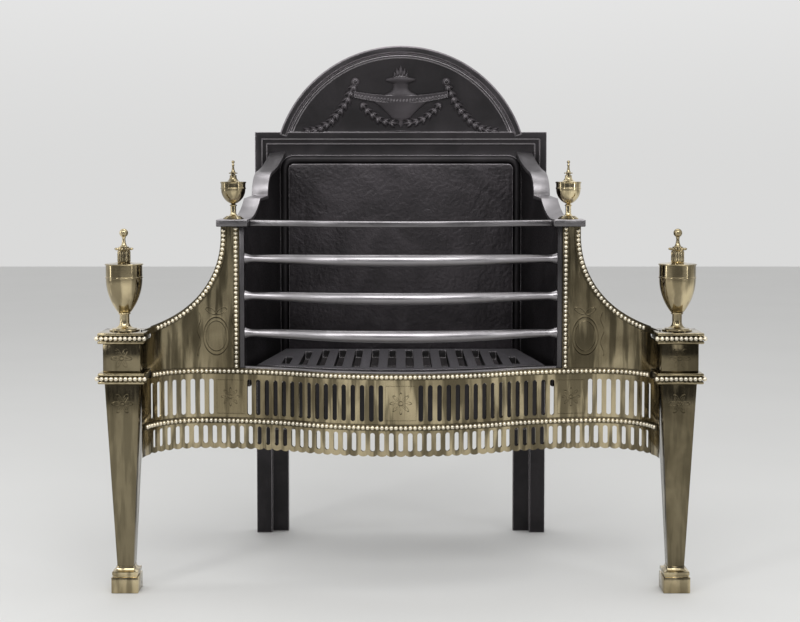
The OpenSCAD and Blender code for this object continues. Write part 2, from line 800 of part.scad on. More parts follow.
// Moves its children to a cheek: +X runs forward along it from the fireback, +Y faces outward
module on_cheek() {
    translate([cheek_back_x, back_y, 0]) rotate([0, 0, cheek_splay - 90]) children();
}

// The steps and the points of a bend of signed radius r that turns from one direction to another.
// A positive radius turns to the left. drop moves the points square to the line, to its right.
function bend_step(r, turn) = r * [sin(turn[1]) - sin(turn[0]), cos(turn[0]) - cos(turn[1])];
function bend(start, r, turn, drop) =
    let (centre = start + r * [-sin(turn[0]), cos(turn[0])])
    [for (i = [0 : 8]) let (a = turn[0] + (turn[1] - turn[0]) * i / 8)
        centre + (r + drop) * [sin(a), -cos(a)]];

// The coping's upper edge, from the fireback forward: a hollow, a round shoulder with a foot,
// a nearly level step and a last hollow down to the steel cap
hollow_r = 285;
hollow_turn = [-30, -8.6];
shoulder_r = -40.5;
shoulder_turn = [-8.6, -83];
shoulder_foot = 4;
step_fall = 3.5;
last_r = 115;
last_turn = [-43, -3];
coping_front_z = plate_z + plate_t - 1;
last_start = [coping_l, coping_front_z] - bend_step(last_r, last_turn);
step_run = last_start.x + end_cut
    - bend_step(hollow_r, hollow_turn).x - bend_step(shoulder_r, shoulder_turn).x;
shoulder_end = last_start + [-step_run, step_fall + shoulder_foot];
shoulder_start = shoulder_end - bend_step(shoulder_r, shoulder_turn);
hollow_start = shoulder_start - bend_step(hollow_r, hollow_turn);
function coping_edge(drop) = concat(
    bend(hollow_start, hollow_r, hollow_turn, drop),
    bend(shoulder_start, shoulder_r, shoulder_turn, drop),
    [shoulder_end - [drop, shoulder_foot + drop]],
    bend(last_start, last_r, last_turn, drop),
    [[coping_l + end_cut, coping_front_z - drop]]
);

module coping() color(steel) {
    between(0, leg_x, plate_back_y, back_y)
        on_cheek() translate([0, coping_w / 2, 0]) rotate([90, 0, 0]) linear_extrude(height = coping_w)
            polygon(concat(coping_edge(0), reversed(coping_edge(coping_t))));
}

// An upright side plate of the basket, with the flange at its back
module cheek() color(iron) {
    difference() {
        union() {
            between(0, leg_x, standard_back_y, back_y)
                on_cheek() translate([0, cheek_t / 2, 0]) rotate([90, 0, 0])
                    linear_extrude(height = cheek_t) polygon(concat(
                        coping_edge(coping_t),
                        [[cheek_l + end_cut, cheek_bottom_z], [-end_cut, cheek_bottom_z]]
                    ));
            block([cheek_back_x, back_y - flange_t, cheek_bottom_z], [flange_x, back_y, flange_top_z]);
        }
        bolt_holes();
    }
}

// Moves its children to each bolt on the right, with +Z forward out of the fireback's face
module at_bolts() {
    for (z = bolt_zs) translate([bolt_x, back_y, z]) rotate([90, 0, 0]) children();
}

module bolt_holes() {
    at_bolts() translate([0, 0, -fireback_t - 1]) hole(bolt_d, fireback_t + flange_t + 2);
}

module fireback() color(iron) {
    half = fireback_w / 2;
    leg_in = half - back_leg_w;
    leg_top = fireback_gap + back_leg_lap;
    difference() {
        union() {
            upright(fireback_t, 0) {
                translate([-half, fireback_gap]) square([fireback_w, shoulder_z - fireback_gap]);
                intersection() {
                    translate([0, arch_z]) circle(r = arch_r - rim_lap, $fn = 180);
                    translate([-arch_w / 2, shoulder_z]) square([arch_w, arch_rise]);
                }
            }
            for (side = [0, 1]) mirror([side, 0, 0]) {
                block([leg_in, back_y + back_leg_set, 0], [half, back_y + back_leg_d, leg_top]);
                block([half - back_leg_rib_w, back_y, 0], [half, back_y + back_leg_d, leg_top]);
            }
            arch_rim();
            frame_moulding();
            slab_frame();
        }
        bolt_holes();
        left() bolt_holes();
    }
}

// An area seen from the front, from the fireback's face back by t and forward by rise
module upright(t, rise) {
    translate([0, back_y + t, 0]) rotate([90, 0, 0]) linear_extrude(height = t + rise) children();
}

// The rounded rim of the arch with a fillet inside it
module arch_rim() {
    half = arch_half_angle + rim_end;
    translate([0, back_y, arch_z]) rotate([90, 0, 0])
        rotate([0, 0, 90 - half]) rotate_extrude(angle = 2 * half, $fn = 180) {
            translate([arch_r - rim_w, -1]) square([rim_w, moulding_h / 2 + 1]);
            translate([arch_r - rim_w / 2, moulding_h / 2]) intersection() {
                circle(d = rim_w);
                translate([-rim_w / 2, -1]) square([rim_w, moulding_h]);
            }
            translate([arch_r - rim_w - 7, -1]) square([4, moulding_h / 3 + 1]);
        }
}

// The flat outer band of the square part and the lower step inside it
module frame_moulding() {
    half = fireback_w / 2;
    for (level = [[0, band_w, moulding_h], [band_w, band_step_w, moulding_h / 2]]) {
        side = half - level[0];
        top = shoulder_z - level[0];
        w = level[1];
        upright(1, level[2]) difference() {
            translate([-side, frame_bottom_z]) square([2 * side, top - frame_bottom_z]);
            translate([w - side, frame_bottom_z - 1])
                square([2 * (side - w), top - w - frame_bottom_z + 1]);
        }
    }
}

// The half round bead that frames the slab, with rounded upper corners
module slab_frame() {
    r = slab_corner_r;
    x = frame_half_w - r;
    bead_r = frame_bead_w / 2;
    sink = 1;
    translate([0, back_y + sink, 0]) {
        translate([-x, 0, frame_z]) rotate([0, 90, 0]) cylinder(r = bead_r, h = 2 * x);
        for (side = [0, 1]) mirror([side, 0, 0]) {
            translate([frame_half_w, 0, frame_bottom_z])
                cylinder(r = bead_r, h = frame_z - r - frame_bottom_z);
            translate([x, 0, frame_z - r]) rotate([90, 0, 0])
                rotate_extrude(angle = 90) translate([r, 0]) circle(r = bead_r);
        }
    }
}

// The plate that takes the heat of the fire, held inside the frame
module fire_slab() color(iron) {
    r = slab_corner_r - frame_bead_w / 2;
    top = frame_z - frame_bead_w / 2 - hole_gap;
    bottom = cheek_bottom_z;
    translate([0, back_y, 0]) rotate([90, 0, 0]) linear_extrude(height = slab_t) {
        translate([-slab_w / 2, bottom]) square([slab_w, top - r - bottom]);
        translate([-slab_w / 2 + r, bottom]) square([slab_w - 2 * r, top - bottom]);
        for (side = [-1, 1]) translate([side * (slab_w / 2 - r), top - r]) circle(r = r);
    }
}

// Bolts that hold the cheeks to the fireback, heads in front
module fireback_bolts() color(iron) {
    for (side = [0, 1]) mirror([side, 0, 0]) at_bolts() {
        translate([-bolt_head_w / 2, -bolt_head_w / 2, flange_t])
            cube([bolt_head_w, bolt_head_w, bolt_head_h]);
        translate([0, 0, -fireback_t - bolt_head_h - 1])
            cylinder(d = bolt_d, h = fireback_t + flange_t + bolt_head_h + 2);
    }
}

// The square nuts of those bolts, behind the fireback
module fireback_nuts() color(iron) {
    for (side = [0, 1]) mirror([side, 0, 0]) at_bolts() translate([0, 0, -fireback_t - bolt_head_h])
        difference() {
            translate([-bolt_head_w / 2, -bolt_head_w / 2, 0])
                cube([bolt_head_w, bolt_head_w, bolt_head_h]);
            translate([0, 0, -1]) cylinder(d = bolt_d + 0.2, h = bolt_head_h + 2);
        }
}

// The ledge along a cheek that the hearth grate lies on
module grate_bearer() color(iron) {
    top = grate_z - grate_t - hole_gap / 2;
    face = -cheek_t / 2;
    back = slab_t + 1;
    front = cheek_l - 12;
    on_cheek() {
        block([back, face - bearer_w, top - bearer_t], [front, face, top]);
        block([back, face - bearer_t, cheek_bottom_z], [front, face, top]);
    }
}

// Edges of the hearth grate: its right side at y, which clears the coping, and its front at x
function grate_side_x(y) =
    cheek_back_x + (back_y - y) * tan(cheek_splay) - coping_w / 2 / cos(cheek_splay) - grate_gap;
function grate_front_y(x) = bar_y(x) + grate_front_gap;

// The slotted iron plate that the fire burns on
module hearth_grate() color(iron) {
    back = slab_front_y - grate_gap;
    steps = 24;
    end_x = grate_side_x(grate_front_y(cheek_back_x));
    xs = [for (i = [0 : steps]) end_x * (2 * i / steps - 1)];
    middle = (grate_slots - 1) / 2;
    translate([0, 0, grate_z - grate_t]) linear_extrude(height = grate_t) difference() {
        polygon(concat(
            [for (x = xs) [x, grate_front_y(x)]],
            [[grate_side_x(back), back], [-grate_side_x(back), back]]
        ));
        for (i = [0 : grate_slots - 1]) {
            x = (i - middle) * grate_pitch;
            near_corner = max(0, abs(i - middle) - middle + 2) / 2;
            y0 = grate_front_y(x) + grate_rim + 5;
            y1 = back - grate_rim + 6 - corner_cut * pow(near_corner, 2);
            translate([x - grate_slot_w / 2, y0]) square([grate_slot_w, y1 - y0]);
        }
    }
}

fireback();
fire_slab();
fireback_bolts();
fireback_nuts();
left() cheek();  // cheek_left
cheek();  // cheek_right
left() coping();  // coping_left
coping();  // coping_right
left() grate_bearer();  // grate_bearer_left
grate_bearer();  // grate_bearer_right
hearth_grate();
left() standard();  // standard_left
standard();  // standard_right
left() standard_cap();  // standard_cap_left
standard_cap();  // standard_cap_right
top_bar();
fire_bar(2);  // fire_bar_upper
fire_bar(1);  // fire_bar_middle
fire_bar(0);  // fire_bar_lower
rail();
fret();
fret_upper_beading();
fret_lower_beading();
left() wing_panel();  // wing_panel_left
wing_panel();  // wing_panel_right
left() wing_sweep_beading();  // wing_sweep_beading_left
wing_sweep_beading();  // wing_sweep_beading_right
left() wing_inner_beading();  // wing_inner_beading_left
wing_inner_beading();  // wing_inner_beading_right
left() foot();  // foot_left
foot();  // foot_right
left() leg();  // leg_left
leg();  // leg_right
left() cap(cap_z);  // lower_cap_left
cap(cap_z);  // lower_cap_right
left() die();  // die_left
die();  // die_right
left() cap(upper_cap_z);  // upper_cap_left
cap(upper_cap_z);  // upper_cap_right
left() tie_rod();  // tie_rod_left
tie_rod();  // tie_rod_right
left() large_urn();  // large_urn_left
large_urn();  // large_urn_right
left() large_urn_lid();  // large_urn_lid_left
large_urn_lid();  // large_urn_lid_right
left() small_urn();  // small_urn_left
small_urn();  // small_urn_right
left() small_urn_lid();  // small_urn_lid_left
small_urn_lid();  // small_urn_lid_right
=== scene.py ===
"""Looks of a dog grate: polished brass front, burnished steel bars and a black-leaded fireback."""

import math

import bpy
from mathutils import Matrix, Vector


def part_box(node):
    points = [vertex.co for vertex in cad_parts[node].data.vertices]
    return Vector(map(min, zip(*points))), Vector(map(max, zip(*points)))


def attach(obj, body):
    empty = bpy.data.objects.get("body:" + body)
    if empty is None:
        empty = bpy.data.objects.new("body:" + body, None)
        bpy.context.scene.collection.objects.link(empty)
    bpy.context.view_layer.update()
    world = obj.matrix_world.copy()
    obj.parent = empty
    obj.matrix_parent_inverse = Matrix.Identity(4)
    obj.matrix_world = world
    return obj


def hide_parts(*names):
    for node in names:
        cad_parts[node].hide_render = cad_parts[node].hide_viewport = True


bl_info = {
    "name": "Dog grate",
    "version": (1, 0, 0),
    "blender": (4, 5, 0),
    "location": "View3D > Sidebar > Dog grate",
    "description": "Dresses the packed solids of a dog grate in brass, steel and cast iron",
    "category": "Object",
}

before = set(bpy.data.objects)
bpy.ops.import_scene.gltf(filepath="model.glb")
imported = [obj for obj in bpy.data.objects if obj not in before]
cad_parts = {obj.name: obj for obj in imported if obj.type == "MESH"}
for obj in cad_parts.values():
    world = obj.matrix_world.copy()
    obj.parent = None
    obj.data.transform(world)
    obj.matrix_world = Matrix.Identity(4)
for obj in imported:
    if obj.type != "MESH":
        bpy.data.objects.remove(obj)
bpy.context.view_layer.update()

MM = 0.001
SAME_POINT = 0.01 * MM
BODY = "frame"
SIDES = (("left", -1), ("right", 1))

# The strips that carry the beads, and the rows across the fret: name, end and height
STRIP_THICK = 2 * MM
STRIP_WIDE = 9 * MM
STRIP_EDGE = 0.4 * MM
STRIP_GAP = 0.1 * MM
BEAD_OUT = STRIP_THICK + 0.6 * MM
BEAD_ROOT = 1.6 * MM
UPPER_ROW_END = 377.6 * MM
BEAD_ROWS = (("upper", UPPER_ROW_END, 321.5 * MM), ("lower", 384.85 * MM, 245 * MM))

# The quarter round of a wing: how far in it starts, its radius and the height of its middle
SWEEP_IN = 23.5 * MM
SWEEP_RADIUS = 147 * MM
SWEEP_MIDDLE_Z = 530.73 * MM
CAP_SIDE = 34 * MM

# How far the bars stand behind the fret, and how long the flare at each end is
BAR_BEHIND = 22 * MM
FLARE_LONG = 14 * MM


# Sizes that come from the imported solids

def middle(node):
    low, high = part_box(node)
    return (low + high) / 2


leg_x, leg_y = middle("die_right").x, middle("die_right").y
leg_side_x = leg_x - (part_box("leg_right")[1].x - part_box("leg_right")[0].x) / 2
fret_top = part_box("fret")[1].z
fret_front = leg_y + 2 * MM
plate_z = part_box("wing_panel_right")[1].z
opening_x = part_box("standard_right")[0].x
wing_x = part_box("wing_panel_right")[0].x
iron_face_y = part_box("cheek_right")[1].y


def size(name, description, default):
    return bpy.props.FloatProperty(name=name, description=description, default=default, unit="LENGTH")


def colour(name, description, default):
    return bpy.props.FloatVectorProperty(
        name=name, description=description, default=default, subtype="COLOR", size=3, min=0, max=1)


class GrateSizes(bpy.types.PropertyGroup):
    """Sizes of the visible detail"""
    bead: size("Bead", "Diameter of a brass bead", 6.85 * MM)
    bead_pitch: size("Bead pitch", "Distance from one bead to the next", 7.05 * MM)
    bow: size("Bow of the fret", "Depth of the serpentine front", 70 * MM)
    corner: size("Corner radius", "Radius of the turn into a leg", 81 * MM)
    bar_bow: size("Bow of the bars", "Depth of the bow of the fire bars", 62 * MM)
    bar_middle: size("Bar, middle", "Diameter of a bar at its middle", 19 * MM)
    bar_neck: size("Bar, neck", "Diameter of a bar near its ends", 11 * MM)
    bar_flare: size("Bar, flare", "Diameter of the flared end of a bar", 18 * MM)
    arch: size("Arch", "Radius of the arch of the fireback", 218.5 * MM)
    relief: size("Relief", "Height of the cast relief on the fireback", 5 * MM)


class GrateColours(bpy.types.PropertyGroup):
    """Colours of the finishes"""
    brass: colour("Brass", "Freshly polished brass", (0.42, 0.355, 0.225))
    # Also the base of the painted shade in hollows and of the painted dark streaks
    brass_deep_and_shade: colour("Toned brass", "Brass where polish has left it darker", (0.2, 0.165, 0.1))
    steel: colour("Steel", "Burnished steel", (0.46, 0.44, 0.455))
    iron: colour("Cast iron", "Black-leaded cast iron", (0.017, 0.015, 0.0165))
    # The edge colour is partly polished black lead and partly painted highlight
    graphite_and_highlight: colour("Graphite", "Rubbed graphite on the raised edges of the iron", (0.45, 0.42, 0.44))
    floor: colour("Floor", "Colour of the floor", (0.62, 0.62, 0.61))


def sizes():
    return bpy.context.scene.grate_sizes


def colours():
    return bpy.context.scene.grate_colours


# The serpentine that the fret, the beads and the wings follow

def arc_radius(half, bow):
    return (half * half + bow * bow) / (4 * bow)


def front_arcs():
    """Half the width of the bow, the radius of its four arcs and the length of one of them."""
    half = leg_side_x - sizes().corner
    radius = arc_radius(half, sizes().bow)
    return half, radius, math.asin(half / 2 / radius) * radius


def serpentine(length):
    """The point of the front at a length from its middle, and its direction."""
    if length < 0:
        point, turn = serpentine(-length)
        return Vector((-point.x, point.y, 0)), -turn
    half, radius, arc = front_arcs()
    corner, back = sizes().corner, fret_front + sizes().bow
    if length <= arc:
        turn = length / radius
        return Vector((radius * math.sin(turn), fret_front + radius * (1 - math.cos(turn)), 0)), turn
    if length <= 2 * arc:
        turn = (2 * arc - length) / radius
        return Vector((half - radius * math.sin(turn), back - radius * (1 - math.cos(turn)), 0)), turn
    turn = (length - 2 * arc) / corner
    return Vector((half + corner * math.sin(turn), back - corner * (1 - math.cos(turn)), 0)), -turn


def length_at(x):
    """The length along the front from its middle to x."""
    half, radius, arc = front_arcs()
    if x < 0:
        return -length_at(-x)
    if x <= half / 2:
        return math.asin(x / radius) * radius
    if x <= half:
        return 2 * arc - math.asin((half - x) / radius) * radius
    return 2 * arc + math.asin(min((x - half) / sizes().corner, 1.0)) * sizes().corner


def off_front(length, out, z):
    """A point at the distance out in front of the fret, and the direction of the fret there."""
    point, turn = serpentine(length)
    return Vector((point.x + out * math.sin(turn), point.y - out * math.cos(turn), z)), turn


# Small helpers for modelling

def mode(name):
    bpy.ops.object.mode_set(mode=name)


def nothing():
    """Object mode, with nothing selected."""
    if bpy.context.object and bpy.context.object.mode != "OBJECT":
        mode("OBJECT")
    bpy.ops.object.select_all(action="DESELECT")


def only(piece):
    """Object mode, with the piece alone selected."""
    nothing()
    piece.select_set(True)
    bpy.context.view_layer.objects.active = piece
    return piece


def edit_all():
    """Edit mode, with all of the active piece selected."""
    mode("EDIT")
    bpy.ops.mesh.select_all(action="SELECT")


def edit_outward():
    """Turns the faces outward and leaves edit mode."""
    bpy.ops.mesh.select_all(action="SELECT")
    bpy.ops.mesh.normals_make_consistent(inside=False)
    mode("OBJECT")


def bevelled(piece, width, segments, angle, **settings):
    """Rounds the edges that are sharper than the angle, with an applied modifier."""
    only(piece)
    modifier = piece.modifiers.new("Bevel", "BEVEL")
    modifier.width, modifier.segments = width, segments
    modifier.limit_method, modifier.angle_limit = "ANGLE", math.radians(angle)
    for name, value in settings.items():
        setattr(modifier, name, value)
    bpy.ops.object.modifier_apply(modifier=modifier.name)
    return piece


def in_place(piece):
    only(piece)
    bpy.ops.object.transform_apply(location=True, rotation=True, scale=True)
    return piece


def joined(pieces, name):
    only(pieces[0])
    for piece in pieces[1:]:
        piece.select_set(True)
    if len(pieces) > 1:
        bpy.ops.object.join()
    pieces[0].name = name
    pieces[0].data.name = name
    return pieces[0]


def dressed(piece, name, finish, replaces=(), smooth=35, body=BODY):
    """Names the finished piece, smooths it, and gives it its finish and its body.

    A piece that has its finishes already is passed a metal that is not one of the finishes, and keeps the
    finishes it has."""
    in_place(piece)
    piece.name = name
    piece.data.name = name
    bpy.ops.object.shade_smooth_by_angle(angle=math.radians(smooth), keep_sharp_edges=True)
    if finish in finishes:
        coat(piece, finish)
    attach(piece, body)
    if replaces:
        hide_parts(*replaces)
    return piece


def coat(piece, finish, test=None):
    """Gives the whole piece a finish, or only the faces whose centre passes the test."""
    if test is None:
        piece.data.materials.clear()
    piece.data.materials.append(finishes[finish])
    for face in piece.data.polygons:
        if test is None or test(face.center):
            face.material_index = len(piece.data.materials) - 1
    return piece


def coated(node, finish):
    """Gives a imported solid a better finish."""
    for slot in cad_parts[node].material_slots:
        slot.material = finishes[finish]


def block(low, high, edge=0.0, segments=2):
    """A cube between two corners with its edges rounded."""
    nothing()
    low, high = Vector(low), Vector(high)
    bpy.ops.mesh.primitive_cube_add(size=1, location=(low + high) / 2)
    piece = bpy.context.object
    piece.scale = high - low
    in_place(piece)
    if edge:
        edit_all()
        bpy.ops.mesh.bevel(offset=edge, segments=segments, affect="EDGES")
        mode("OBJECT")
    return piece


def profile(z, *points):
    """Half sides or radii, and heights above z, given in millimetres."""
    return [(reach * MM, z + height * MM) for reach, height in points]


def grown(piece, centre, steps):
    """Grows a flat piece up through the steps of a profile."""
    in_place(piece)
    edit_all()
    for (reach, z), (next_reach, next_z) in zip(steps, steps[1:]):
        bpy.ops.mesh.extrude_region_move(TRANSFORM_OT_translate={"value": (0, 0, next_z - z)})
        ratio = next_reach / reach
        bpy.ops.transform.resize(value=(ratio, ratio, 1), center_override=(*centre, next_z))
    edit_outward()
    return piece


def square_stack(centre, steps, edge):
    """A square column grown from its base."""
    nothing()
    half, z = steps[0]
    bpy.ops.mesh.primitive_plane_add(size=2 * half, location=(*centre, z))
    return bevelled(grown(bpy.context.object, centre, steps), edge, 2, 28)


def turned(centre, steps, segments):
    """A turned piece grown from its base."""
    nothing()
    radius, z = steps[0]
    bpy.ops.mesh.primitive_circle_add(
        vertices=segments, radius=radius, fill_type="NGON", location=(*centre, z))
    return grown(bpy.context.object, centre, steps)


def curve_points(centre, radius, start, end, count):
    """Points of an arc in a profile, for a hollow or a swelling; angles in degrees."""
    found = []
    for i in range(count + 1):
        a = math.radians(start + (end - start) * i / count)
        found.append((centre[0] + radius * math.cos(a), centre[1] + radius * math.sin(a)))
    return found


def ball(radius, segments, rings, place=(0, 0, 0), flat=1.0, tilt=0.0):
    """A ball, flattened along Y; tilt turns its poles from Z towards Y."""
    nothing()
    bpy.ops.mesh.primitive_uv_sphere_add(
        segments=segments, ring_count=rings, radius=radius, location=place, rotation=(tilt, 0, 0))
    piece = bpy.context.object
    piece.scale = (1, flat, 1)
    return in_place(piece)


def half_ball(radius, root, segments=12, rings=8):
    """A bead that points along -Y, with a flat root behind its middle."""
    piece = ball(radius, segments, rings, tilt=math.pi / 2)
    edit_all()
    bpy.ops.mesh.bisect(plane_co=(0, root, 0), plane_no=(0, 1, 0), use_fill=True, clear_outer=True)
    mode("OBJECT")
    return piece


def copies(template, places, name):
    """Copies of the template at each place, joined; a place is a matrix."""
    made = []
    for place in places:
        copy = bpy.data.objects.new(name, template.data.copy())
        bpy.context.scene.collection.objects.link(copy)
        copy.matrix_world = place
        made.append(copy)
    bpy.context.view_layer.update()
    bpy.data.objects.remove(template)
    return in_place(joined(made, name))


def at(point, turn=0.0):
    return Matrix.Translation(point) @ Matrix.Rotation(turn, 4, "Z")


def cut_across(piece, cuts):
    """Cuts a long piece across, so that it can be bent."""
    only(piece)
    mode("EDIT")
    bpy.ops.mesh.select_mode(type="EDGE")
    bpy.ops.mesh.select_all(action="DESELECT")
    mode("OBJECT")
    points = piece.data.vertices
    for edge in piece.data.edges:
        step = points[edge.vertices[0]].co - points[edge.vertices[1]].co
        edge.select = abs(step.x) > 4 * max(abs(step.y), abs(step.z))
    mode("EDIT")
    bpy.ops.mesh.subdivide(number_cuts=cuts)
    mode("OBJECT")
    return piece


def moved(piece, place):
    """Moves each vertex of the piece from its x, y and z to where the function places them."""
    for vertex in piece.data.vertices:
        vertex.co = place(*vertex.co)
    piece.data.update()
    return piece


def bent(piece, by_x=False):
    """Lays a piece that was made flat, with y into it, round the serpentine front."""
    return moved(piece, lambda x, y, z: off_front(length_at(x) if by_x else x, -y, z)[0])


def bead_row(places, name):
    """A bead at each place, joined."""
    return coat(copies(half_ball(sizes().bead / 2, BEAD_ROOT), places, name), "brass_bead")


def mirrored(piece, name):
    """The same piece for the left side."""
    only(piece)
    bpy.ops.object.duplicate()
    twin = bpy.context.object
    twin.scale = (-1, 1, 1)
    bpy.ops.object.transform_apply(location=True, rotation=True, scale=True)
    edit_all()
    edit_outward()
    twin.name = name
    return twin


def pair(piece, name, finish, node, smooth=35):
    """Finishes a piece of the right side and its twin of the left."""
    twin = mirrored(piece, name + "_left")
    dressed(piece, name + "_right", finish, (node + "_right",), smooth)
    dressed(twin, name + "_left", finish, (node + "_left",), smooth)


def refined(node, edge=0.0, segments=2):
    """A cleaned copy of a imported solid's mesh, with its sharp edges rounded."""
    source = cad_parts[node]
    piece = bpy.data.objects.new(node + "_finished", source.data.copy())
    bpy.context.scene.collection.objects.link(piece)
    only(piece)
    if piece.data.has_custom_normals:
        bpy.ops.mesh.customdata_custom_splitnormals_clear()
    edit_all()
    bpy.ops.mesh.remove_doubles(threshold=SAME_POINT)
    bpy.ops.mesh.dissolve_limited(angle_limit=math.radians(0.3))
    mode("OBJECT")
    if edge:
        bevelled(piece, edge, segments, 35, use_clamp_overlap=True)
    return piece


# Materials

def put(tree, kind, inputs=None, output=0, **settings):
    """Adds a shader node and gives one of its outputs, or each by its name if output is None.

    An input given as a Value is linked, and anything else is its setting."""
    made = tree.nodes.new(kind)
    for name, value in settings.items():
        setattr(made, name, value)
    for key, value in (inputs or {}).items():
        if isinstance(value, Value):
            tree.links.new(value.socket(), made.inputs[key])
        else:
            made.inputs[key].default_value = value
    if output is None:
        return {socket.name: Value(made, socket.name) for socket in made.outputs}
    return Value(made, output)


class Value:
    """An output of a shader node. Sums that are done with it add math nodes."""

    def __init__(self, node, output):
        self.node, self.output, self.tree = node, output, node.id_data

    def socket(self):
        return self.node.outputs[self.output]

    def __abs__(self):
        return sums("ABSOLUTE", self)

    def __add__(self, other):
        return sums("ADD", self, other)

    def __radd__(self, other):
        return sums("ADD", other, self)

    def __sub__(self, other):
        return sums("SUBTRACT", self, other)

    def __rsub__(self, other):
        return sums("SUBTRACT", other, self)

    def __mul__(self, other):
        return sums("MULTIPLY", self, other)

    def __truediv__(self, other):
        return sums("DIVIDE", self, other)


def sums(operation, *values):
    tree = next(value.tree for value in values if isinstance(value, Value))
    return put(tree, "ShaderNodeMath", dict(enumerate(values)), operation=operation)


def mixed(factor, first, second):
    """The first colour where the factor is nothing, and the second where it is one."""
    first, second = (tone if isinstance(tone, Value) else (*tone, 1) for tone in (first, second))
    return put(factor.tree, "ShaderNodeMix", {0: factor, 6: first, 7: second}, 2, data_type="RGBA")


def spread(value, low, high, to_low=0.0, to_high=1.0):
    """Spreads the values between two bounds smoothly over another range."""
    return put(value.tree, "ShaderNodeMapRange", {
        "Value": value, "From Min": low, "From Max": high, "To Min": to_low, "To Max": to_high},
        interpolation_type="SMOOTHSTEP")


def noise(place, scale, detail, distortion=0.0):
    return put(place.tree, "ShaderNodeTexNoise", {
        "Vector": place, "Scale": scale, "Detail": detail, "Distortion": distortion})


def scaled(place, scale):
    return put(place.tree, "ShaderNodeMapping", {"Vector": place, "Scale": scale})


def parts_of(vector):
    return put(vector.tree, "ShaderNodeSeparateXYZ", {0: vector}, None)


def normal_of(tree, kind):
    return put(tree, "ShaderNodeNewGeometry", output=kind)


def bumped(height, distance, normal=None):
    inputs = {"Height": height, "Distance": distance, "Strength": 1.0}
    if normal is not None:
        inputs["Normal"] = normal
    return put(height.tree, "ShaderNodeBump", inputs)


def toned(tone, factor):
    return tuple(c * factor for c in tone)


def new_group(name, outputs, **inputs):
    """A shader node group with named sockets; a number in makes a value socket, the rest are vectors."""
    tree = bpy.data.node_groups.new(name, "ShaderNodeTree")
    for label, value in inputs.items():
        kind = "NodeSocketFloat" if isinstance(value, float) else "NodeSocketVector"
        socket = tree.interface.new_socket(name=label, in_out="INPUT", socket_type=kind)
        if value is not None:
            socket.default_value = value
    for label in outputs:
        tree.interface.new_socket(name=label, in_out="OUTPUT", socket_type="NodeSocketFloat")
    return put(tree, "NodeGroupInput", output=None), tree.nodes.new("NodeGroupOutput").inputs


def linked(inputs, **values):
    """Links each value to the input of its name, and gives their tree."""
    for name, value in values.items():
        value.tree.links.new(value.socket(), inputs[name])
    return value.tree


def hand_polish_group():
    """Slow waves, fine scratches, patches of tone, and upright streaks for painted reflections, of metal
    that is polished by hand.
    """
    start, end = new_group(
        "Hand polish", ("Wave", "Scratch", "Patch", "Streak"),
        Vector=None, Waves=26.0, Grain=(300.0, 300.0, 30.0), Patches=9.0)
    place = start["Vector"]
    wave = noise(scaled(place, (1.0, 1.0, 0.3)), start["Waves"], 1.0, 0.4)
    scratch = noise(scaled(place, start["Grain"]), 1.0, 3.0)
    patch = spread(noise(place, start["Patches"], 4.0, 0.8), 0.36, 0.66)
    # Upright streaks, used as painted dark reflections
    painted_streak = spread(noise(scaled(place, (1.0, 1.0, 0.12)), 70.0, 3.0), 0.38, 0.6)
    return linked(end, Wave=wave, Scratch=scratch, Patch=patch, Streak=painted_streak)


def cast_skin_group():
    """The sandy skin of cast iron, with pits, and a mask of its edges, which are lightened partly as
    polished black lead and partly as painted highlight.
    """
    start, end = new_group(
        "Cast skin", ("Skin", "Pit", "Edge"), Vector=None, Sand=420.0, Pits=40.0, Reach=2.6 * MM)
    place = start["Vector"]
    lumps = noise(place, start["Pits"], 5.0, 0.6)
    rounded = put(place.tree, "ShaderNodeBevel", {"Radius": start["Reach"]}, samples=4)
    match = put(place.tree, "ShaderNodeVectorMath", {0: rounded, 1: normal_of(place.tree, "Normal")},
                "Value", operation="DOT_PRODUCT")
    return linked(end, Skin=noise(place, start["Sand"], 3.0), Pit=spread(lumps, 0.34, 0.46, 1.0, 0.0),
                  Edge=spread(match, 0.99, 0.86))


def engraving_group(name, **inputs):
    """A group for cut lines that are repeated left and right, with the distances from their middle."""
    start, end = new_group(name, ("Line",), Vector=None, Across=0.0, Up=0.0, **inputs)
    parts = parts_of(start["Vector"])
    return start, end, abs(parts["X"]) - start["Across"], parts["Z"] - start["Up"]


def engraved(end, lines):
    """Keeps the lines to the surfaces that face the room."""
    facing = sums("LESS_THAN", parts_of(normal_of(lines.tree, "True Normal"))["Y"], -0.6)
    return linked(end, Line=lines * facing)


def hypotenuse(across, up, weight=None):
    """The root of two squares, of which the second can be given more weight."""
    return sums("SQRT", across * across + (up if weight is None else up * weight) * up)


def line_at(distance, width):
    """A soft line where the distance is nothing."""
    return spread(abs(distance), 0.0, width, 1.0, 0.0)


def engraved_star_group():
    """The cut lines of a star of petals."""
    start, end, across, up = engraving_group("Engraved star", Size=0.015, Petals=8.0)
    reach = hypotenuse(across, up) / start["Size"]
    lobe = abs(sums("COSINE", sums("ARCTAN2", up, across) * (start["Petals"] * 0.5)))
    outline = line_at(reach - (0.3 + sums("POWER", lobe, 1.6) * 0.7), 0.1)
    vein = spread(lobe, 0.97, 1.0) * spread(reach, 0.7, 0.6)
    inner = sums("MAXIMUM", vein * 0.8, line_at(reach - 0.2, 0.08))
    return engraved(end, sums("MAXIMUM", outline, inner))


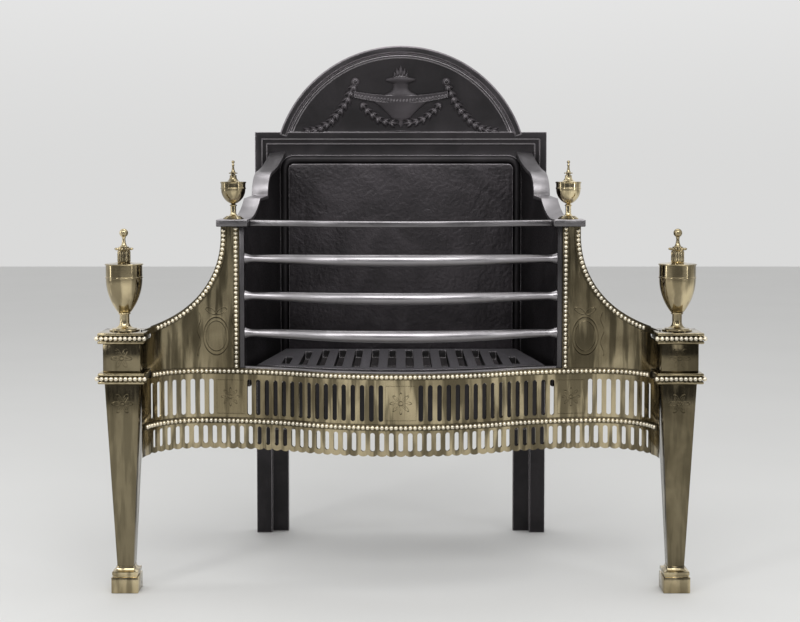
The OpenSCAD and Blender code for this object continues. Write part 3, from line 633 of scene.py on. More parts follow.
def engraved_oval_group():
    """The cut lines of an oval of two rings, with a bow above it and a ribbon at each side."""
    start, end, across, up = engraving_group("Engraved oval", Width=0.02, Height=0.028)
    wide, high = across / start["Width"], up / start["Height"]
    aside, reach = abs(wide), hypotenuse(wide, high)
    rings = sums("MAXIMUM", line_at(reach - 1.0, 0.07), line_at(reach - 0.8, 0.045))
    bow = line_at(hypotenuse(aside - 0.42, high - 1.2 - aside * 0.3, 7.0) - 0.38, 0.08)
    sway = sums("SINE", high * 5.0) * 0.12
    ribbon = line_at(aside - (sway + 1.32), 0.06) * spread(abs(high - 0.1), 1.1, 1.2, 1.0, 0.0)
    return engraved(end, sums("MAXIMUM", rings, sums("MAXIMUM", bow, ribbon)))


def punched_border_group():
    """A border of punched dashes round a plain panel."""
    start, end, across, up = engraving_group("Punched border", Width=0.023, Height=0.026)
    edge = sums("MAXIMUM", abs(across) - start["Width"], abs(up) - start["Height"])
    dashes = sums("GREATER_THAN", sums("SINE", (across + up) * 2600.0), -0.2)
    return engraved(end, line_at(edge, 0.9 * MM) * dashes)


groups = {}
finishes = {}

ENGRAVINGS = (("star", "Size", "Petals"), ("oval", "Width", "Height"), ("border", "Width", "Height"))
# The cream towards which the beads are paled: painted highlight
HIGHLIGHT_CREAM = (0.88, 0.86, 0.8)
CUT_BRASS = (0.1, 0.08, 0.045)
# Painted highlight for the upward faces of the hearth grate
IRON_TOP_HIGHLIGHT = (0.16, 0.152, 0.165)


def use_group(name, place, **inputs):
    return put(place.tree, "ShaderNodeGroup", {"Vector": place, **inputs}, None, node_tree=groups[name])


def principled(name):
    """A new material and the object's coordinates in it."""
    material = bpy.data.materials.new(name)
    material.use_nodes = True
    return material, put(material.node_tree, "ShaderNodeTexCoord", output="Object")


def surface_of(material):
    return material.node_tree.nodes["Principled BSDF"].inputs


def surfaced(material, tone, rough, normal, metallic=1.0):
    """Links a finish to the surface shader and keeps it under its name."""
    surface_of(material)["Metallic"].default_value = metallic
    linked(surface_of(material), **{"Base Color": tone, "Roughness": rough, "Normal": normal})
    finishes[material.name] = material


def brass(name, waves=26.0, depth=0.1 * MM, grain=(300.0, 300.0, 30.0), rough=0.1, lift=1.0, pale=0.0,
          painted_streaks=0.0, shade_and_patina_reach=2.5 * MM, **engravings):
    """Polished brass with toned patches and any engraving. Lift and pale give lighter or darker copies of
    it as painted light, upright dark streaks are painted reflections, and its hollows are darkened, partly
    as patina and partly as painted shade.
    """
    material, place = principled(name)
    polish = use_group("polish", place, Waves=waves, Grain=grain)
    # Lift makes a lighter or darker copy of the brass and pale mixes it towards a cream: painted light and
    # shade
    bright, deep = (tuple(c * lift * (1 - pale) + cream * pale for c, cream in zip(tone, HIGHLIGHT_CREAM))
                    for tone in (colours().brass, colours().brass_deep_and_shade))
    tone = mixed(polish["Patch"], bright, deep)
    # Painted reflection: upright dark streaks over the brass
    clear = spread(polish["Streak"], 0.0, 1.0, 1.0 - painted_streaks, 1.0)
    tone = mixed(clear, toned(deep, 0.35), tone)
    normal = bumped(polish["Scratch"], 0.006 * MM, bumped(polish["Wave"], depth))
    line = None
    for kind, first, second in ENGRAVINGS:
        for across, up, one, other in engravings.get(kind, ()):
            extent = {first: one, second: other}
            cut = use_group(kind, place, Across=across, Up=up, **extent)["Line"]
            line = cut if line is None else sums("MAXIMUM", line, cut)
    if line is not None:
        tone = mixed(line * 0.62, tone, CUT_BRASS)
        normal = bumped(1.0 - line, 0.12 * MM, normal)
    # Hollows found by ambient occlusion are darkened and made rougher: partly patina, partly painted shade
    crevice = put(place.tree, "ShaderNodeAmbientOcclusion", {"Distance": shade_and_patina_reach}, "AO", samples=6)
    open_metal = spread(crevice, 0.3, 0.8)
    tone = mixed(open_metal, toned(colours().brass_deep_and_shade, 0.12), tone)
    roughness = spread(polish["Scratch"], 0.3, 0.75, rough, rough + 0.12)
    surfaced(material, tone, roughness + spread(open_metal, 0.0, 1.0, 0.3, 0.0), normal)


def steel(name, grain=(20.0, 300.0, 300.0), dark=0.0, rough=0.28):
    """Burnished steel with a faint violet cast, brushed along its length, and darkened underneath as
    painted shade.
    """
    material, place = principled(name)
    polish = use_group("polish", place, Waves=34.0, Grain=grain, Patches=16.0)
    bright = toned(colours().steel, 1 - dark)
    dull = toned(bright, 0.78)
    upward = parts_of(normal_of(place.tree, "Normal"))["Z"]
    # Faces turned down are darkened: painted shade
    tone = mixed(spread(upward, -0.7, 0.3), toned(dull, 0.42), mixed(polish["Patch"], bright, dull))
    normal = bumped(polish["Scratch"], 0.003 * MM, bumped(polish["Wave"], 0.03 * MM))
    surfaced(material, tone, spread(polish["Scratch"], 0.3, 0.7, rough, rough + 0.08), normal)


def cast_iron(name, skin=0.12 * MM, pits=0.0, sand=420.0, lift=1.0, painted_top_highlight=None, reach=2.6 * MM):
    """Black-leaded cast iron: a sandy skin, lightened along its edges partly as polished black lead and
    partly as painted highlight.
    """
    material, place = principled(name)
    cast = use_group("cast", place, Sand=sand, Reach=reach)
    base = toned(colours().iron, lift)
    tone = mixed(use_group("polish", place, Patches=14.0)["Patch"], base, toned(base, 1.7))
    # Edges mixed towards the lighter edge colour: polished black lead and painted highlight
    tone = mixed(cast["Edge"], tone, colours().graphite_and_highlight)
    # Upward faces lightened: painted highlight on the tops
    if painted_top_highlight:
        upward = parts_of(normal_of(place.tree, "True Normal"))["Z"]
        tone = mixed(spread(upward, 0.5, 0.9), tone, painted_top_highlight)
    normal = bumped(cast["Skin"], skin)
    if pits:
        normal = bumped(1.0 - cast["Pit"], pits, normal)
    rough = spread(cast["Skin"], 0.3, 0.7, 0.38, 0.56) - cast["Edge"] * 0.12
    surfaced(material, tone, rough, normal, 0.55)


def make_finishes():
    """Builds the node groups once, and the finishes from them; an engraving starts with its place."""
    groups.update(polish=hand_polish_group(), star=engraved_star_group(), oval=engraved_oval_group(),
                  border=punched_border_group(), cast=cast_skin_group())
    panel_z = fret_top - 44 * MM
    side_panel_x = off_front(273 * MM, 0, 0)[0].x
    block_z, leg_top = middle("die_right").z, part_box("leg_right")[1].z
    # Each lift is a lighter or darker copy of one brass standing in for how light falls: painted shade on
    # the wings and the legs, painted highlight on the caps and the urns
    brass("brass_sheet", waves=46.0, depth=1.2 * MM, lift=1.1, painted_streaks=0.8,
          star=((0.0, panel_z, 16 * MM, 8.0), (side_panel_x, panel_z, 14 * MM, 8.0)),
          border=((0.0, panel_z, 23 * MM, 26 * MM), (side_panel_x, panel_z, 21 * MM, 26 * MM)))
    brass("brass_wing", waves=28.0, depth=1.6 * MM, lift=0.85, painted_streaks=0.8,
          oval=((284 * MM, fret_top + 50 * MM, 20 * MM, 29 * MM),))
    brass("brass_leg", waves=20.0, depth=0.7 * MM, lift=0.55, painted_streaks=0.4,
          star=((leg_x, block_z, 15 * MM, 6.0), (leg_x, leg_top - 30 * MM, 15 * MM, 6.0)))
    brass("brass_turned", waves=30.0, depth=0.25 * MM, grain=(40.0, 40.0, 900.0), rough=0.07, lift=1.8,
          painted_streaks=0.65, shade_and_patina_reach=0.5 * MM)
    # Beads: a much lighter copy paled towards cream, painted highlight
    brass("brass_bead", waves=60.0, depth=0.04 * MM, rough=0.26, lift=2.1, pale=0.5, shade_and_patina_reach=0.2 * MM)
    brass("brass_cap", waves=20.0, depth=0.4 * MM, lift=1.2, painted_streaks=0.3)
    # A much darker copy for the strips and recesses between beads: partly patina, partly painted shade
    brass("brass_groove_shade", waves=60.0, depth=0.04 * MM, rough=0.35, lift=0.35)
    steel("steel_bar")
    steel("steel_plain", grain=(200.0, 60.0, 200.0))
    steel("steel_dark", grain=(300.0, 300.0, 30.0), dark=0.72)
    steel("steel_coping", grain=(300.0, 30.0, 300.0), dark=0.22, rough=0.36)
    # Darker steel for the fronts and sides of the steel caps and the top bar: painted shade
    steel("steel_cap", grain=(200.0, 60.0, 200.0), dark=0.45)
    cast_iron("iron_cast")
    # Arch rim and frame above it: a much lighter copy of the iron, painted sheen
    cast_iron("iron_painted_sheen", skin=0.5 * MM, lift=9.0)
    # The relief: a lighter copy of the iron, painted highlight on the raised work
    cast_iron("iron_relief", skin=0.08 * MM, lift=2.4, reach=0.9 * MM)
    cast_iron("iron_slab", skin=1.6 * MM, pits=0.35 * MM, sand=150.0, lift=2.0)
    # A darker copy for the grate, painted shade in its slots, with a painted highlight on its upward faces
    cast_iron("iron_grate", skin=0.2 * MM, lift=0.5, painted_top_highlight=IRON_TOP_HIGHLIGHT)


# The pieces, in the order in which the grate goes together


class GRATE_OT_fret(bpy.types.Operator):
    """The pierced serpentine fret, the rail behind it and the plain wings"""
    bl_idname = "grate.fret"
    bl_label = "Fret, rail and wings"

    def execute(self, context):
        dressed(refined("fret"), "pierced_fret", "brass_sheet", ("fret",))
        dressed(refined("rail"), "steel_rail", "steel_plain", ("rail",))
        for side, _ in SIDES:
            node = "wing_panel_" + side
            dressed(refined(node), "brass_wing_" + side, "brass_wing", (node,))
        return {"FINISHED"}


class GRATE_OT_beading(bpy.types.Operator):
    """The strips and beads across the fret and along the wings"""
    bl_idname = "grate.beading"
    bl_label = "Beading"

    def execute(self, context):
        for name, end_x, z in BEAD_ROWS:
            self.across(name, length_at(end_x), z)
        for side, sign in SIDES:
            self.upright(side, sign)
            self.sweep(side, sign)
        return {"FINISHED"}

    def strung(self, strip, places, name, node):
        """Joins a strip and its beads."""
        piece = joined([bead_row(places, name), coat(in_place(strip), "brass_groove_shade")], name)
        dressed(piece, name, "brass", (node,), smooth=50)

    def across(self, name, end, z):
        """A row of beads across the fret."""
        half, pitch = STRIP_WIDE / 2, sizes().bead_pitch
        strip = block((-end, -STRIP_THICK, z - half), (end, -STRIP_GAP, z + half), STRIP_EDGE)
        bent(cut_across(strip, 240))
        count = math.floor((end - sizes().bead / 2) / pitch)
        places = [at(*off_front(i * pitch, BEAD_OUT, z)) for i in range(-count, count + 1)]
        self.strung(strip, places, name + "_beads", "fret_" + name + "_beading")

    def upright(self, side, sign):
        """The row of beads up the inner edge of a wing."""
        half, bead, pitch = STRIP_WIDE / 2, sizes().bead, sizes().bead_pitch
        length = length_at(wing_x + half) * sign
        first = fret_top + bead / 2 + 0.3 * MM
        count = math.floor((plate_z - bead / 2 - first) / pitch)
        strip = block((-half, -STRIP_THICK, fret_top), (half, -STRIP_GAP, plate_z), STRIP_EDGE)
        strip.matrix_world = at(*off_front(length, 0, 0))
        places = [at(*off_front(length, BEAD_OUT, first + i * pitch)) for i in range(count + 1)]
        self.strung(strip, places, "inner_beads_" + side, "wing_inner_beading_" + side)

    def sweep(self, side, sign):
        """The quarter round of beads that sweeps out to the upper cap."""
        bead, pitch, radius = sizes().bead, sizes().bead_pitch, SWEEP_RADIUS
        centre_x = wing_x + SWEEP_IN + radius
        strip = self.sweep_strip(centre_x, math.acos((leg_x - CAP_SIDE - centre_x) / radius))
        if sign < 0:
            right, strip = strip, mirrored(strip, "left_sweep")
            bpy.data.objects.remove(right)
        places, angle = [], math.pi
        while centre_x + radius * math.cos(angle) < UPPER_ROW_END - bead:
            length = length_at(centre_x + radius * math.cos(angle))
            height = SWEEP_MIDDLE_Z + radius * math.sin(angle)
            places.append(at(*off_front(length * sign, BEAD_OUT, height)))
            across = math.tan(off_front(length, 0, 0)[1]) * math.sin(angle)
            angle += pitch / radius / math.sqrt(1 + across * across)
        length = length_at(centre_x - radius) * sign
        for i in range(1, math.floor((plate_z - SWEEP_MIDDLE_Z - bead / 2) / pitch) + 1):
            places.append(at(*off_front(length, BEAD_OUT, SWEEP_MIDDLE_Z + i * pitch)))
        self.strung(strip, places, "sweep_beads_" + side, "wing_sweep_beading_" + side)

    def sweep_strip(self, centre_x, angle):
        """The strip of the right sweep: down from the top of the wing, and round through the angle."""
        nothing()
        bpy.ops.mesh.primitive_plane_add(
            size=1, location=(centre_x - SWEEP_RADIUS, -(STRIP_THICK + STRIP_GAP) / 2, plate_z))
        strip = bpy.context.object
        strip.scale = (STRIP_WIDE, STRIP_THICK - STRIP_GAP, 1)
        in_place(strip)
        edit_all()
        down = (0, 0, SWEEP_MIDDLE_Z - plate_z)
        bpy.ops.mesh.extrude_region_move(TRANSFORM_OT_translate={"value": down})
        bpy.ops.mesh.spin(steps=64, angle=angle, center=(centre_x, 0, SWEEP_MIDDLE_Z), axis=(0, 1, 0))
        bpy.ops.mesh.select_all(action="SELECT")
        bpy.ops.mesh.remove_doubles(threshold=SAME_POINT)
        edit_outward()
        return bent(strip, by_x=True)


class GRATE_OT_columns(bpy.types.Operator):
    """The square feet, tapered legs, beaded caps and blocks of the two front columns"""
    bl_idname = "grate.columns"
    bl_label = "Front columns"

    def execute(self, context):
        foot = square_stack((leg_x, leg_y), profile(
            0, (19.2, 0), (20, 0.8), (20, 24), (17.5, 24), (17.5, 27), (19, 27), (19, 32),
            *curve_points((18, 37.8), 5.6, -90, -180, 6), (12.3, 39)), 0.5 * MM)
        pair(foot, "brass_foot", "brass_turned", "foot")
        leg = square_stack((leg_x, leg_y), profile(
            0, (12.25, 39), (15.6, 107), (19, 177), (22.4, 247), (25.75, 316)), 0.9 * MM)
        pair(leg, "brass_leg", "brass_leg", "leg")
        pair(block(*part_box("die_right"), 0.9 * MM), "brass_block", "brass_leg", "die")
        for node in ("lower_cap", "upper_cap"):
            pair(self.cap(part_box(node + "_right")[0].z), "beaded_" + node, "brass", node)
        return {"FINISHED"}

    def cap(self, z):
        """A square cap with beads along its front and its outer side."""
        plate = square_stack((leg_x, leg_y), profile(
            z, (33.2, 0), (34, 0.8), (34, 3.4), (33.2, 4.2), (32, 4.2), (32, 11.8), (33.2, 11.8),
            (34, 12.6), (34, 15.2), (33.2, 16)), 0.3 * MM)
        coat(plate, "brass_cap")
        coat(plate, "brass_groove_shade", lambda c: 4.1 * MM < c.z - z < 11.9 * MM)
        row, core = 35.1 * MM, 31 * MM
        bead_z = z + 8 * MM
        low, high = bead_z - MM, bead_z + MM
        front = block((leg_x - row, leg_y - row, low), (leg_x + row, leg_y - core, high))
        outer = block((leg_x + core, leg_y - row + MM, low), (leg_x + row, leg_y + row, high))
        count = math.floor(2 * row / sizes().bead_pitch + 0.1)
        steps = [2 * row * i / count for i in range(count + 1)]
        places = [at((leg_x - row + step, leg_y - row, bead_z)) for step in steps]
        places += [at((leg_x + row, leg_y - row + step, bead_z), math.pi / 2) for step in steps[1:]]
        grooves = [coat(strip, "brass_groove_shade") for strip in (front, outer)]
        return joined([plate, *grooves, bead_row(places, "beads")], "cap")


class GRATE_OT_urns(bpy.types.Operator):
    """The large urns on the columns and the small urns on the steel caps, with their lids"""
    bl_idname = "grate.urns"
    bl_label = "Urns"

    def execute(self, context):
        self.large()
        self.small()
        return {"FINISHED"}

    def bowl(self, rim, radius, low, high, count):
        """The swelling side of a bowl, upright at its rim."""
        steps = [low + (high - low) * i / count for i in range(count + 1)]
        return [(rim - radius + math.sqrt(radius * radius - (high - h) ** 2), h) for h in steps]

    def large(self):
        """A large urn 100 mm high, and its lid with flutes, a beaded collar and a ball."""
        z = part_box("large_urn_right")[0].z
        urn = turned((leg_x, leg_y), profile(
            z, (21.8, 0), (22.3, 0.5), (22.3, 2.1), (21.8, 2.6), (18.6, 2.6), (18.3, 2.9), (18.3, 4.0),
            (17.6, 4.4), *curve_points((16.3, 13.5), 9.1, 270, 180, 10), (7.2, 18), (7.2, 24.6), (8.7, 25),
            (9.0, 25.5), (9.0, 26.5), (8.7, 27), (8.4, 27.2), *self.bowl(27, 82, 28, 78.4, 18),
            (27.6, 78.8), (27.8, 79.4), (27.8, 80.6), (27.4, 81.2), (27, 81.4), (27, 98.2), (28.1, 98.5),
            (28.4, 98.9), (28.4, 99.6), (28, 100)), 72)
        pair(urn, "brass_urn", "brass_turned", "large_urn", smooth=40)
        z += 100 * MM
        body = turned((leg_x, leg_y), profile(
            z, (27.4, 0), (27.0, 0.4), (20, 0.9), (14, 1.6), (11.2, 2.2), (10.4, 2.6), (8.9, 3.2),
            (8.9, 19.5), (10.4, 20.5), (12.2, 20.5), (12.2, 24.1), (9.0, 24.3), (7.8, 24.6), (7.8, 25.5),
            (6, 25.5), (4.6, 27), (3.4, 29.5), (2.7, 33), (2.4, 36), (2.6, 38.5), (3.2, 40.5),
            (2.6, 41.2), (2.6, 42)), 48)
        knob = ball(6.5 * MM, 32, 20, (leg_x, leg_y, z + 46 * MM))
        flute = block((8.5 * MM, -1.05 * MM, 3.4 * MM), (9.8 * MM, 1.05 * MM, 18.6 * MM), 0.8 * MM, 3)
        flutes = copies(flute, self.ring(z, 16), "flutes")
        bead = half_ball(1.75 * MM, 0.6 * MM, 10, 6)
        beads = copies(bead, self.ring(z + 22.3 * MM, 18, 12.1 * MM), "collar")
        lid = joined([body, knob, flutes, beads], "lid")
        pair(lid, "brass_urn_lid", "brass_turned", "large_urn_lid", smooth=40)

    def ring(self, z, count, radius=0.0):
        """Even places round the middle of a large lid."""
        out = Matrix.Translation((0, -radius, 0))
        return [at((leg_x, leg_y, z), math.tau * i / count) @ out for i in range(count)]

    def small(self):
        """A small urn 56 mm high, and its lid."""
        centre = middle("small_urn_right").xy
        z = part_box("standard_cap_right")[1].z
        urn = turned(centre, profile(
            z, (15.2, 0), (15.6, 0.4), (15.6, 1.7), (15.2, 2), (13.8, 2), (13.6, 2.2), (13.6, 3.3),
            (13.2, 3.6), (11.2, 3.8), (11.2, 4.8), (10.4, 5), *curve_points((9.1, 9.8), 4.8, 270, 180, 8),
            (4.3, 14), (4.3, 19.7), (5.2, 20), (5.5, 20.4), (5.5, 21.3), (5.2, 21.6), (4.8, 22),
            *self.bowl(18.6, 24, 23, 45.6, 14), (19.2, 46.0), (19.4, 46.5), (19.4, 47.7), (19.0, 48.2),
            (18.8, 48.4), (18.8, 54.6), (19.8, 54.8), (20, 55.1), (20, 55.8), (19.7, 56)), 64)
        pair(urn, "brass_small_urn", "brass_turned", "small_urn", smooth=40)
        z += 56 * MM
        body = turned(centre, profile(
            z, (19.4, 0), (19.4, 0.9), (19.1, 1.2), (13.6, 1.2),
            *curve_points((12.9, 8.9), 7.7, 270, 180, 8), (5.2, 11), (3.4, 11.2), (3.4, 13.4), (6.3, 13.4),
            (6.6, 13.7), (6.6, 14.7), (6.3, 15), (4, 15), (2.9, 17), (2.2, 19), (1.5, 24), (1.8, 25.4),
            (2.2, 26.5), (1.6, 27.6), (1.2, 29.2)), 40)
        knob = ball(2.5 * MM, 20, 12, (*centre, z + 31.2 * MM))
        lid = joined([body, knob], "lid")
        pair(lid, "brass_small_urn_lid", "brass_turned", "small_urn_lid", smooth=40)


class GRATE_OT_bars(bpy.types.Operator):
    """The three round fire bars, the flat top bar, the standards and their caps"""
    bl_idname = "grate.bars"
    bl_label = "Fire bars and standards"

    def execute(self, context):
        for name in ("upper", "middle", "lower"):
            node = "fire_bar_" + name
            dressed(self.bar(middle(node).z), "steel_bar_" + name, "steel_bar", (node,), smooth=60)
        top = self.shaded_with_lit_top(refined("top_bar", 1.4 * MM, 3))
        dressed(top, "steel_top_bar", "steel", ("top_bar",), smooth=60)
        for side, _ in SIDES:
            node = "standard_" + side
            dressed(refined(node, 0.4 * MM), "steel_standard_" + side, "steel_dark", (node,))
            node = "standard_cap_" + side
            cap = self.shaded_with_lit_top(block(*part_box(node), 1.6 * MM, 3))
            dressed(cap, "steel_cap_" + side, "steel", (node,), smooth=60)
        return {"FINISHED"}

    def shaded_with_lit_top(self, piece):
        """Darker steel as painted shade, with its top and upper edges in the bright steel of the bars as a
        painted highlight.
        """
        top = max((piece.matrix_world @ vertex.co).z for vertex in piece.data.vertices)
        coat(piece, "steel_cap")
        return coat(piece, "steel_bar", lambda c: c.z > top - 1.1 * MM)

    def path(self, x):
        """The middle line of a bar at x, and its direction."""
        half = leg_side_x - sizes().corner
        radius = arc_radius(half, sizes().bar_bow)
        front = fret_front + BAR_BEHIND
        if abs(x) <= half / 2:
            return front + radius - math.sqrt(radius * radius - x * x), math.asin(x / radius)
        left = half - abs(x)
        back = front + sizes().bar_bow - radius + math.sqrt(radius * radius - left * left)
        return back, math.copysign(math.asin(left / radius), x)

    def bar(self, z):
        """A round bar that swells in its middle and flares at its ends."""
        neck, middle_r, flare_r = sizes().bar_neck / 2, sizes().bar_middle / 2, sizes().bar_flare / 2

        def swollen(x, y, height):
            radius = neck + (middle_r - neck) * math.cos(math.pi / 2 * abs(x) / opening_x)
            near_end = max(0.0, abs(x) - opening_x + FLARE_LONG) / FLARE_LONG
            radius += (flare_r - neck) * near_end * near_end
            centre, turn = self.path(x)
            out = y * radius / neck
            return (x - out * math.sin(turn) * (1 - near_end), centre + out * math.cos(turn),
                    z + height * radius / neck)

        nothing()
        bpy.ops.mesh.primitive_cylinder_add(
            vertices=32, radius=neck, depth=2 * opening_x, rotation=(0, math.pi / 2, 0))
        return moved(cut_across(in_place(bpy.context.object), 160), swollen)


class GRATE_OT_fireback(bpy.types.Operator):
    """The cast fireback with its urn and garlands in relief, and the plate in its frame"""
    bl_idname = "grate.fireback"
    bl_label = "Fireback"

    # Millimetres from the middle of the vase to a boss, and to the end of its rim
    boss_x, rim_half = 78, 80.3

    def execute(self, context):
        back = coat(refined("fireback", 0.8 * MM), "iron_cast")
        arch_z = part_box("fireback")[1].z - sizes().arch
        # The outer band of the arch and the frame above it take the lighter iron: painted sheen
        sheen_above, sheen_beyond = arch_z + 70 * MM, sizes().arch - 13.5 * MM
        coat(back, "iron_painted_sheen", lambda c: (
            c.z > sheen_above and math.hypot(c.x, c.z - arch_z) > sheen_beyond))
        dressed(back, "cast_fireback", "iron", ("fireback",))
        dressed(refined("fire_slab", 1.2 * MM), "cast_slab", "iron_slab", ("fire_slab",))
        dressed(self.vase(), "relief_vase", "iron_relief", smooth=50)
        dressed(self.garlands(), "relief_garlands", "iron_relief", smooth=50)
        for node in ("fireback_bolts", "fireback_nuts"):
            coated(node, "iron_cast")
        return {"FINISHED"}

    def on_face(self, piece, depth):
        """Squeezes a turned piece against the face of the fireback as a low relief."""
        def squeezed(x, y, z):
            reach = math.hypot(x, y)
            out = -y / reach * depth(reach) if reach > SAME_POINT else 0
            return x, iron_face_y - out, z

        only(moved(piece, squeezed))
        edit_all()
        bpy.ops.mesh.bisect(
            plane_co=(0, iron_face_y + MM, 0), plane_no=(0, 1, 0), use_fill=True, clear_outer=True)
        edit_outward()
        return piece

    def leaf(self, length, width, height):
        """A pointed leaf that lies on the XZ plane with its stalk at the origin and its tip up."""
        def pointed(x, y, z):
            along = (z + 1) / 2
            fat = math.sin(math.pi * along ** 0.7) ** 0.8 if 0 < along < 1 else 0
            ring = math.hypot(x, y)
            if ring > 0.001:
                x, y = x / ring * fat, y / ring * fat
            return x * width / 2, y * height, along * length

        return moved(ball(1, 10, 8), pointed)

    def placed(self, x, z, turn, scale=1.0):
        """A place on the face; turn is from upright towards +X, in degrees."""
        place = at((x * MM, iron_face_y, z * MM)) @ Matrix.Rotation(math.radians(turn), 4, "Y")
        return place @ Matrix.Diagonal((scale, 1, scale, 1))

    def vase(self):
        """The vase: flame, lid, gadrooned rim, bowl, pendant and foot."""
        relief = sizes().relief
        body = self.on_face(turned((0, 0), profile(
            0, (0.5, 703), (3.5, 705), (5, 709), (3.5, 712), (5, 714.5), (13, 717), (18, 719.5),
            (20, 723), (25.4, 728.5), (31, 734), (37, 739), (42, 743), (47, 746), (50, 748), (52, 750),
            (30, 757), (25, 760.5), (18, 764), (13.6, 768), (12.6, 771), (12.6, 776.5), (14, 778.5),
            (22, 780.6), (25.4, 782.6), (25.4, 785.8), (22, 787.4), (14, 789), (12, 791), (6, 793)), 40),
            lambda reach: relief * min(1.15, 0.35 + reach / (34 * MM)))
        base = self.on_face(turned((0, 0), profile(
            0, (6, 693.2), (38, 694.4), (40, 695.4), (38, 696.4), (6, 697.6)), 32), lambda reach: 2.4 * MM)
        flame = copies(self.leaf(22 * MM, 9.6 * MM, relief), [
            self.placed(x, 787, turn, scale) for x, turn, scale in (
                (-9, -12, 0.55), (9, 12, 0.55), (-4.5, -8, 0.8), (4.5, 8, 0.8), (0, 0, 1.0))], "flame")
        return joined([body, base, flame, self.rim(), self.gadroons(), *self.bosses()], "vase")

    def rim(self):
        """The plain band behind the gadroons, which rises towards its ends."""
        half = self.rim_half * MM

        def risen(x, y, z):
            rise = (x / half) ** 2
            height = 757 + 7.5 * rise if z > 0.5 * MM else 745 + 9.5 * rise
            return x, iron_face_y + y, height * MM

        return moved(cut_across(block((-half, -sizes().relief, 0), (half, MM, MM)), 60), risen)

    def gadroons(self):
        """Slanted ribs along the rim."""
        ribs = []
        for i in range(-14, 15):
            x = i * 5.5
            rise = (x / self.rim_half) ** 2
            shorter = Matrix.Diagonal((1, 1, (13 - 2 * rise) / 13, 1))
            ribs.append(self.placed(x - 3, 744.5 + 9.4 * rise, 28) @ shorter)
        return copies(self.leaf(13 * MM, 5.4 * MM, sizes().relief + 1.6 * MM), ribs, "gadroons")

    def bosses(self):
        """At each end of the rim a button in a disc, on a short stem."""
        made = []
        for _, sign in SIDES:
            x = sign * self.boss_x * MM
            for radius, depth in ((7.4, 2.6), (3.6, 5.2)):
                made.append(ball(radius * MM, 24, 12, (x, iron_face_y, 780.8 * MM), depth / radius))
            made.append(block((x - 2 * MM, iron_face_y - 2 * MM, 761 * MM),
                              (x + 2 * MM, iron_face_y + MM, 775 * MM), 0.8 * MM))
        return made

    def garlands(self):
        """Garlands of husks, hung from the bosses."""
        side = (
            (self.boss_x, 775), (84, 766), (92, 748), (102.6, 732), (121, 711), (142, 699), (165.7, 695))
        inner = ((-68.4, 745), (-56, 730), (-39.4, 717.7), (-22, 711), (-7.9, 709.8))
        places = []
        for right, count, scale in ((side, 11, 1.0), (inner, 6, 0.95)):
            for run in (right, [(-x, z) for x, z in right]):
                for x, z, turn in self.along(run, count):
                    places.append(self.placed(x, z, turn, scale))
                    places += [self.placed(x, z, turn + aside, 0.85 * scale) for aside in (-36, 36)]
        return copies(self.leaf(17 * MM, 7.6 * MM, 5 * MM), places, "garlands")

    def along(self, points, count):
        """Even steps along a line through the points, each with its direction."""
        lengths = [math.dist(a, b) for a, b in zip(points, points[1:])]
        found, total = [], sum(lengths)
        for i in range(count):
            left = total * (i + 0.05) / count
            for a, b, length in zip(points, points[1:], lengths):
                if left <= length:
                    break
                left -= length
            share = left / length
            turn = math.degrees(math.atan2(b[0] - a[0], b[1] - a[1]))
            found.append((a[0] + (b[0] - a[0]) * share, a[1] + (b[1] - a[1]) * share, turn))
        return found


class GRATE_OT_basket(bpy.types.Operator):
    """The cheeks with their copings, the ledges, the hearth grate and the rods"""
    bl_idname = "grate.basket"
    bl_label = "Basket"

    def execute(self, context):
        for side, _ in SIDES:
            node = "cheek_" + side
            dressed(refined(node, 0.6 * MM), "iron_" + node, "iron_cast", (node,))
            node = "coping_" + side
            dressed(refined(node, 0.8 * MM), "steel_" + node, "steel_coping", (node,))
            coated("grate_bearer_" + side, "iron_cast")
            coated("tie_rod_" + side, "iron_cast")
        grate = refined("hearth_grate", 1.2 * MM)
        dressed(grate, "cast_hearth_grate", "iron_grate", ("hearth_grate",), body="grate")
        return {"FINISHED"}


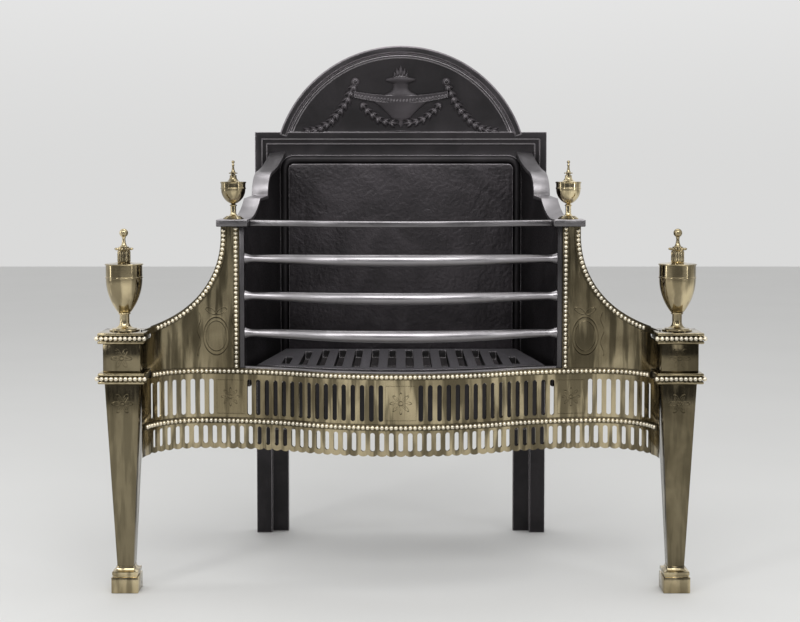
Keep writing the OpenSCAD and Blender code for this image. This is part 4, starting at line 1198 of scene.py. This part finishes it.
class GRATE_OT_stage(bpy.types.Operator):
    """The floor, the soft lamps, the surroundings and the camera"""
    bl_idname = "grate.stage"
    bl_label = "Stage"

    def execute(self, context):
        self.floor()
        self.surroundings()
        for name, place, width, height, power in (
                ("key_lamp", (-1.9, -2.3, 1.7), 0.4, 2.2, 18),
                ("left_lamp", (-3.0, -0.4, 1.2), 0.35, 2.2, 10),
                ("right_lamp", (2.6, -1.9, 1.3), 0.25, 2.2, 9),
                ("front_lamp", (0.2, -2.3, 2.5), 2.8, 1.1, 38),
                ("window_lamp", (0.75, -2.9, 1.5), 0.5, 1.7, 6),
                ("top_lamp", (0.2, 0.3, 3.0), 2.4, 0.8, 14)):
            self.lamp(name, place, width, height, power)
        self.camera(context.scene)
        return {"FINISHED"}

    def camera(self, scene):
        """The camera that was fitted to the photograph."""
        data = bpy.data.cameras.new("camera")
        data.lens, data.sensor_width = 65.8, 36
        data.shift_x, data.shift_y = -0.001, -0.084
        camera = bpy.data.objects.new("camera", data)
        scene.collection.objects.link(camera)
        camera.location = (0, -2.336, 0.635)
        camera.rotation_euler = (math.radians(87), 0, 0)
        scene.camera = camera
        scene.view_settings.view_transform = "Standard"

    def floor(self):
        nothing()
        bpy.ops.mesh.primitive_plane_add(size=14, location=(0, 0, 0))
        floor = in_place(bpy.context.object)
        floor.name = "floor"
        material, place = principled("floor")
        pale = colours().floor
        tone = mixed(noise(place, 3.0, 4.0), toned(pale, 0.97), toned(pale, 1.02))
        linked(surface_of(material), **{"Base Color": tone})
        surface_of(material)["Roughness"].default_value = 0.75
        floor.data.materials.append(material)

    def surroundings(self):
        """A pale room with a pale ceiling, darker behind the camera."""
        world = bpy.data.worlds.new("surroundings")
        bpy.context.scene.world = world
        world.use_nodes = True
        tree = world.node_tree
        parts = parts_of(put(tree, "ShaderNodeTexCoord", output="Generated"))
        behind, ceiling = spread(parts["Y"], -0.85, 0.45), spread(parts["Z"], 0.35, 0.75)
        wall = mixed(spread(parts["Z"], -0.02, 0.25), (0.7, 0.7, 0.695), (0.86, 0.86, 0.86))
        tone = mixed(sums("MAXIMUM", behind, ceiling), (0.13, 0.13, 0.135), wall)
        linked(tree.nodes["Background"].inputs, Color=tone)

    def lamp(self, name, place, width, height, power):
        """A lamp that looks at the middle of the grate."""
        data = bpy.data.lights.new(name, "AREA")
        data.shape, data.size, data.size_y, data.energy = "RECTANGLE", width, height, power
        lamp = bpy.data.objects.new(name, data)
        bpy.context.scene.collection.objects.link(lamp)
        lamp.location = place
        lamp.rotation_euler = (Vector((0, 0, 0.4)) - Vector(place)).to_track_quat("-Z", "Y").to_euler()


class GRATE_PT_pieces(bpy.types.Panel):
    """The steps that dress the grate, in order"""
    bl_label = "Dog grate"
    bl_idname = "GRATE_PT_pieces"
    bl_space_type = "VIEW_3D"
    bl_region_type = "UI"
    bl_category = "Dog grate"

    def draw(self, context):
        for step in STEPS:
            self.layout.operator(step.bl_idname)
        for group in (context.scene.grate_sizes, context.scene.grate_colours):
            for name in group.bl_rna.properties.keys():
                if name not in ("rna_type", "name"):
                    self.layout.prop(group, name)


STEPS = (GRATE_OT_fret, GRATE_OT_beading, GRATE_OT_columns, GRATE_OT_urns, GRATE_OT_bars, GRATE_OT_fireback,
         GRATE_OT_basket, GRATE_OT_stage)
CLASSES = (GrateSizes, GrateColours, *STEPS, GRATE_PT_pieces)


def register():
    for each in CLASSES:
        bpy.utils.register_class(each)
    bpy.types.Scene.grate_sizes = bpy.props.PointerProperty(type=GrateSizes)
    bpy.types.Scene.grate_colours = bpy.props.PointerProperty(type=GrateColours)


def unregister():
    del bpy.types.Scene.grate_colours
    del bpy.types.Scene.grate_sizes
    for each in reversed(CLASSES):
        bpy.utils.unregister_class(each)


def main():
    register()
    make_finishes()
    for step in (bpy.ops.grate.fret, bpy.ops.grate.beading, bpy.ops.grate.columns, bpy.ops.grate.urns,
                 bpy.ops.grate.bars, bpy.ops.grate.fireback, bpy.ops.grate.basket, bpy.ops.grate.stage):
        step()


if __name__ == "__main__":
    main()
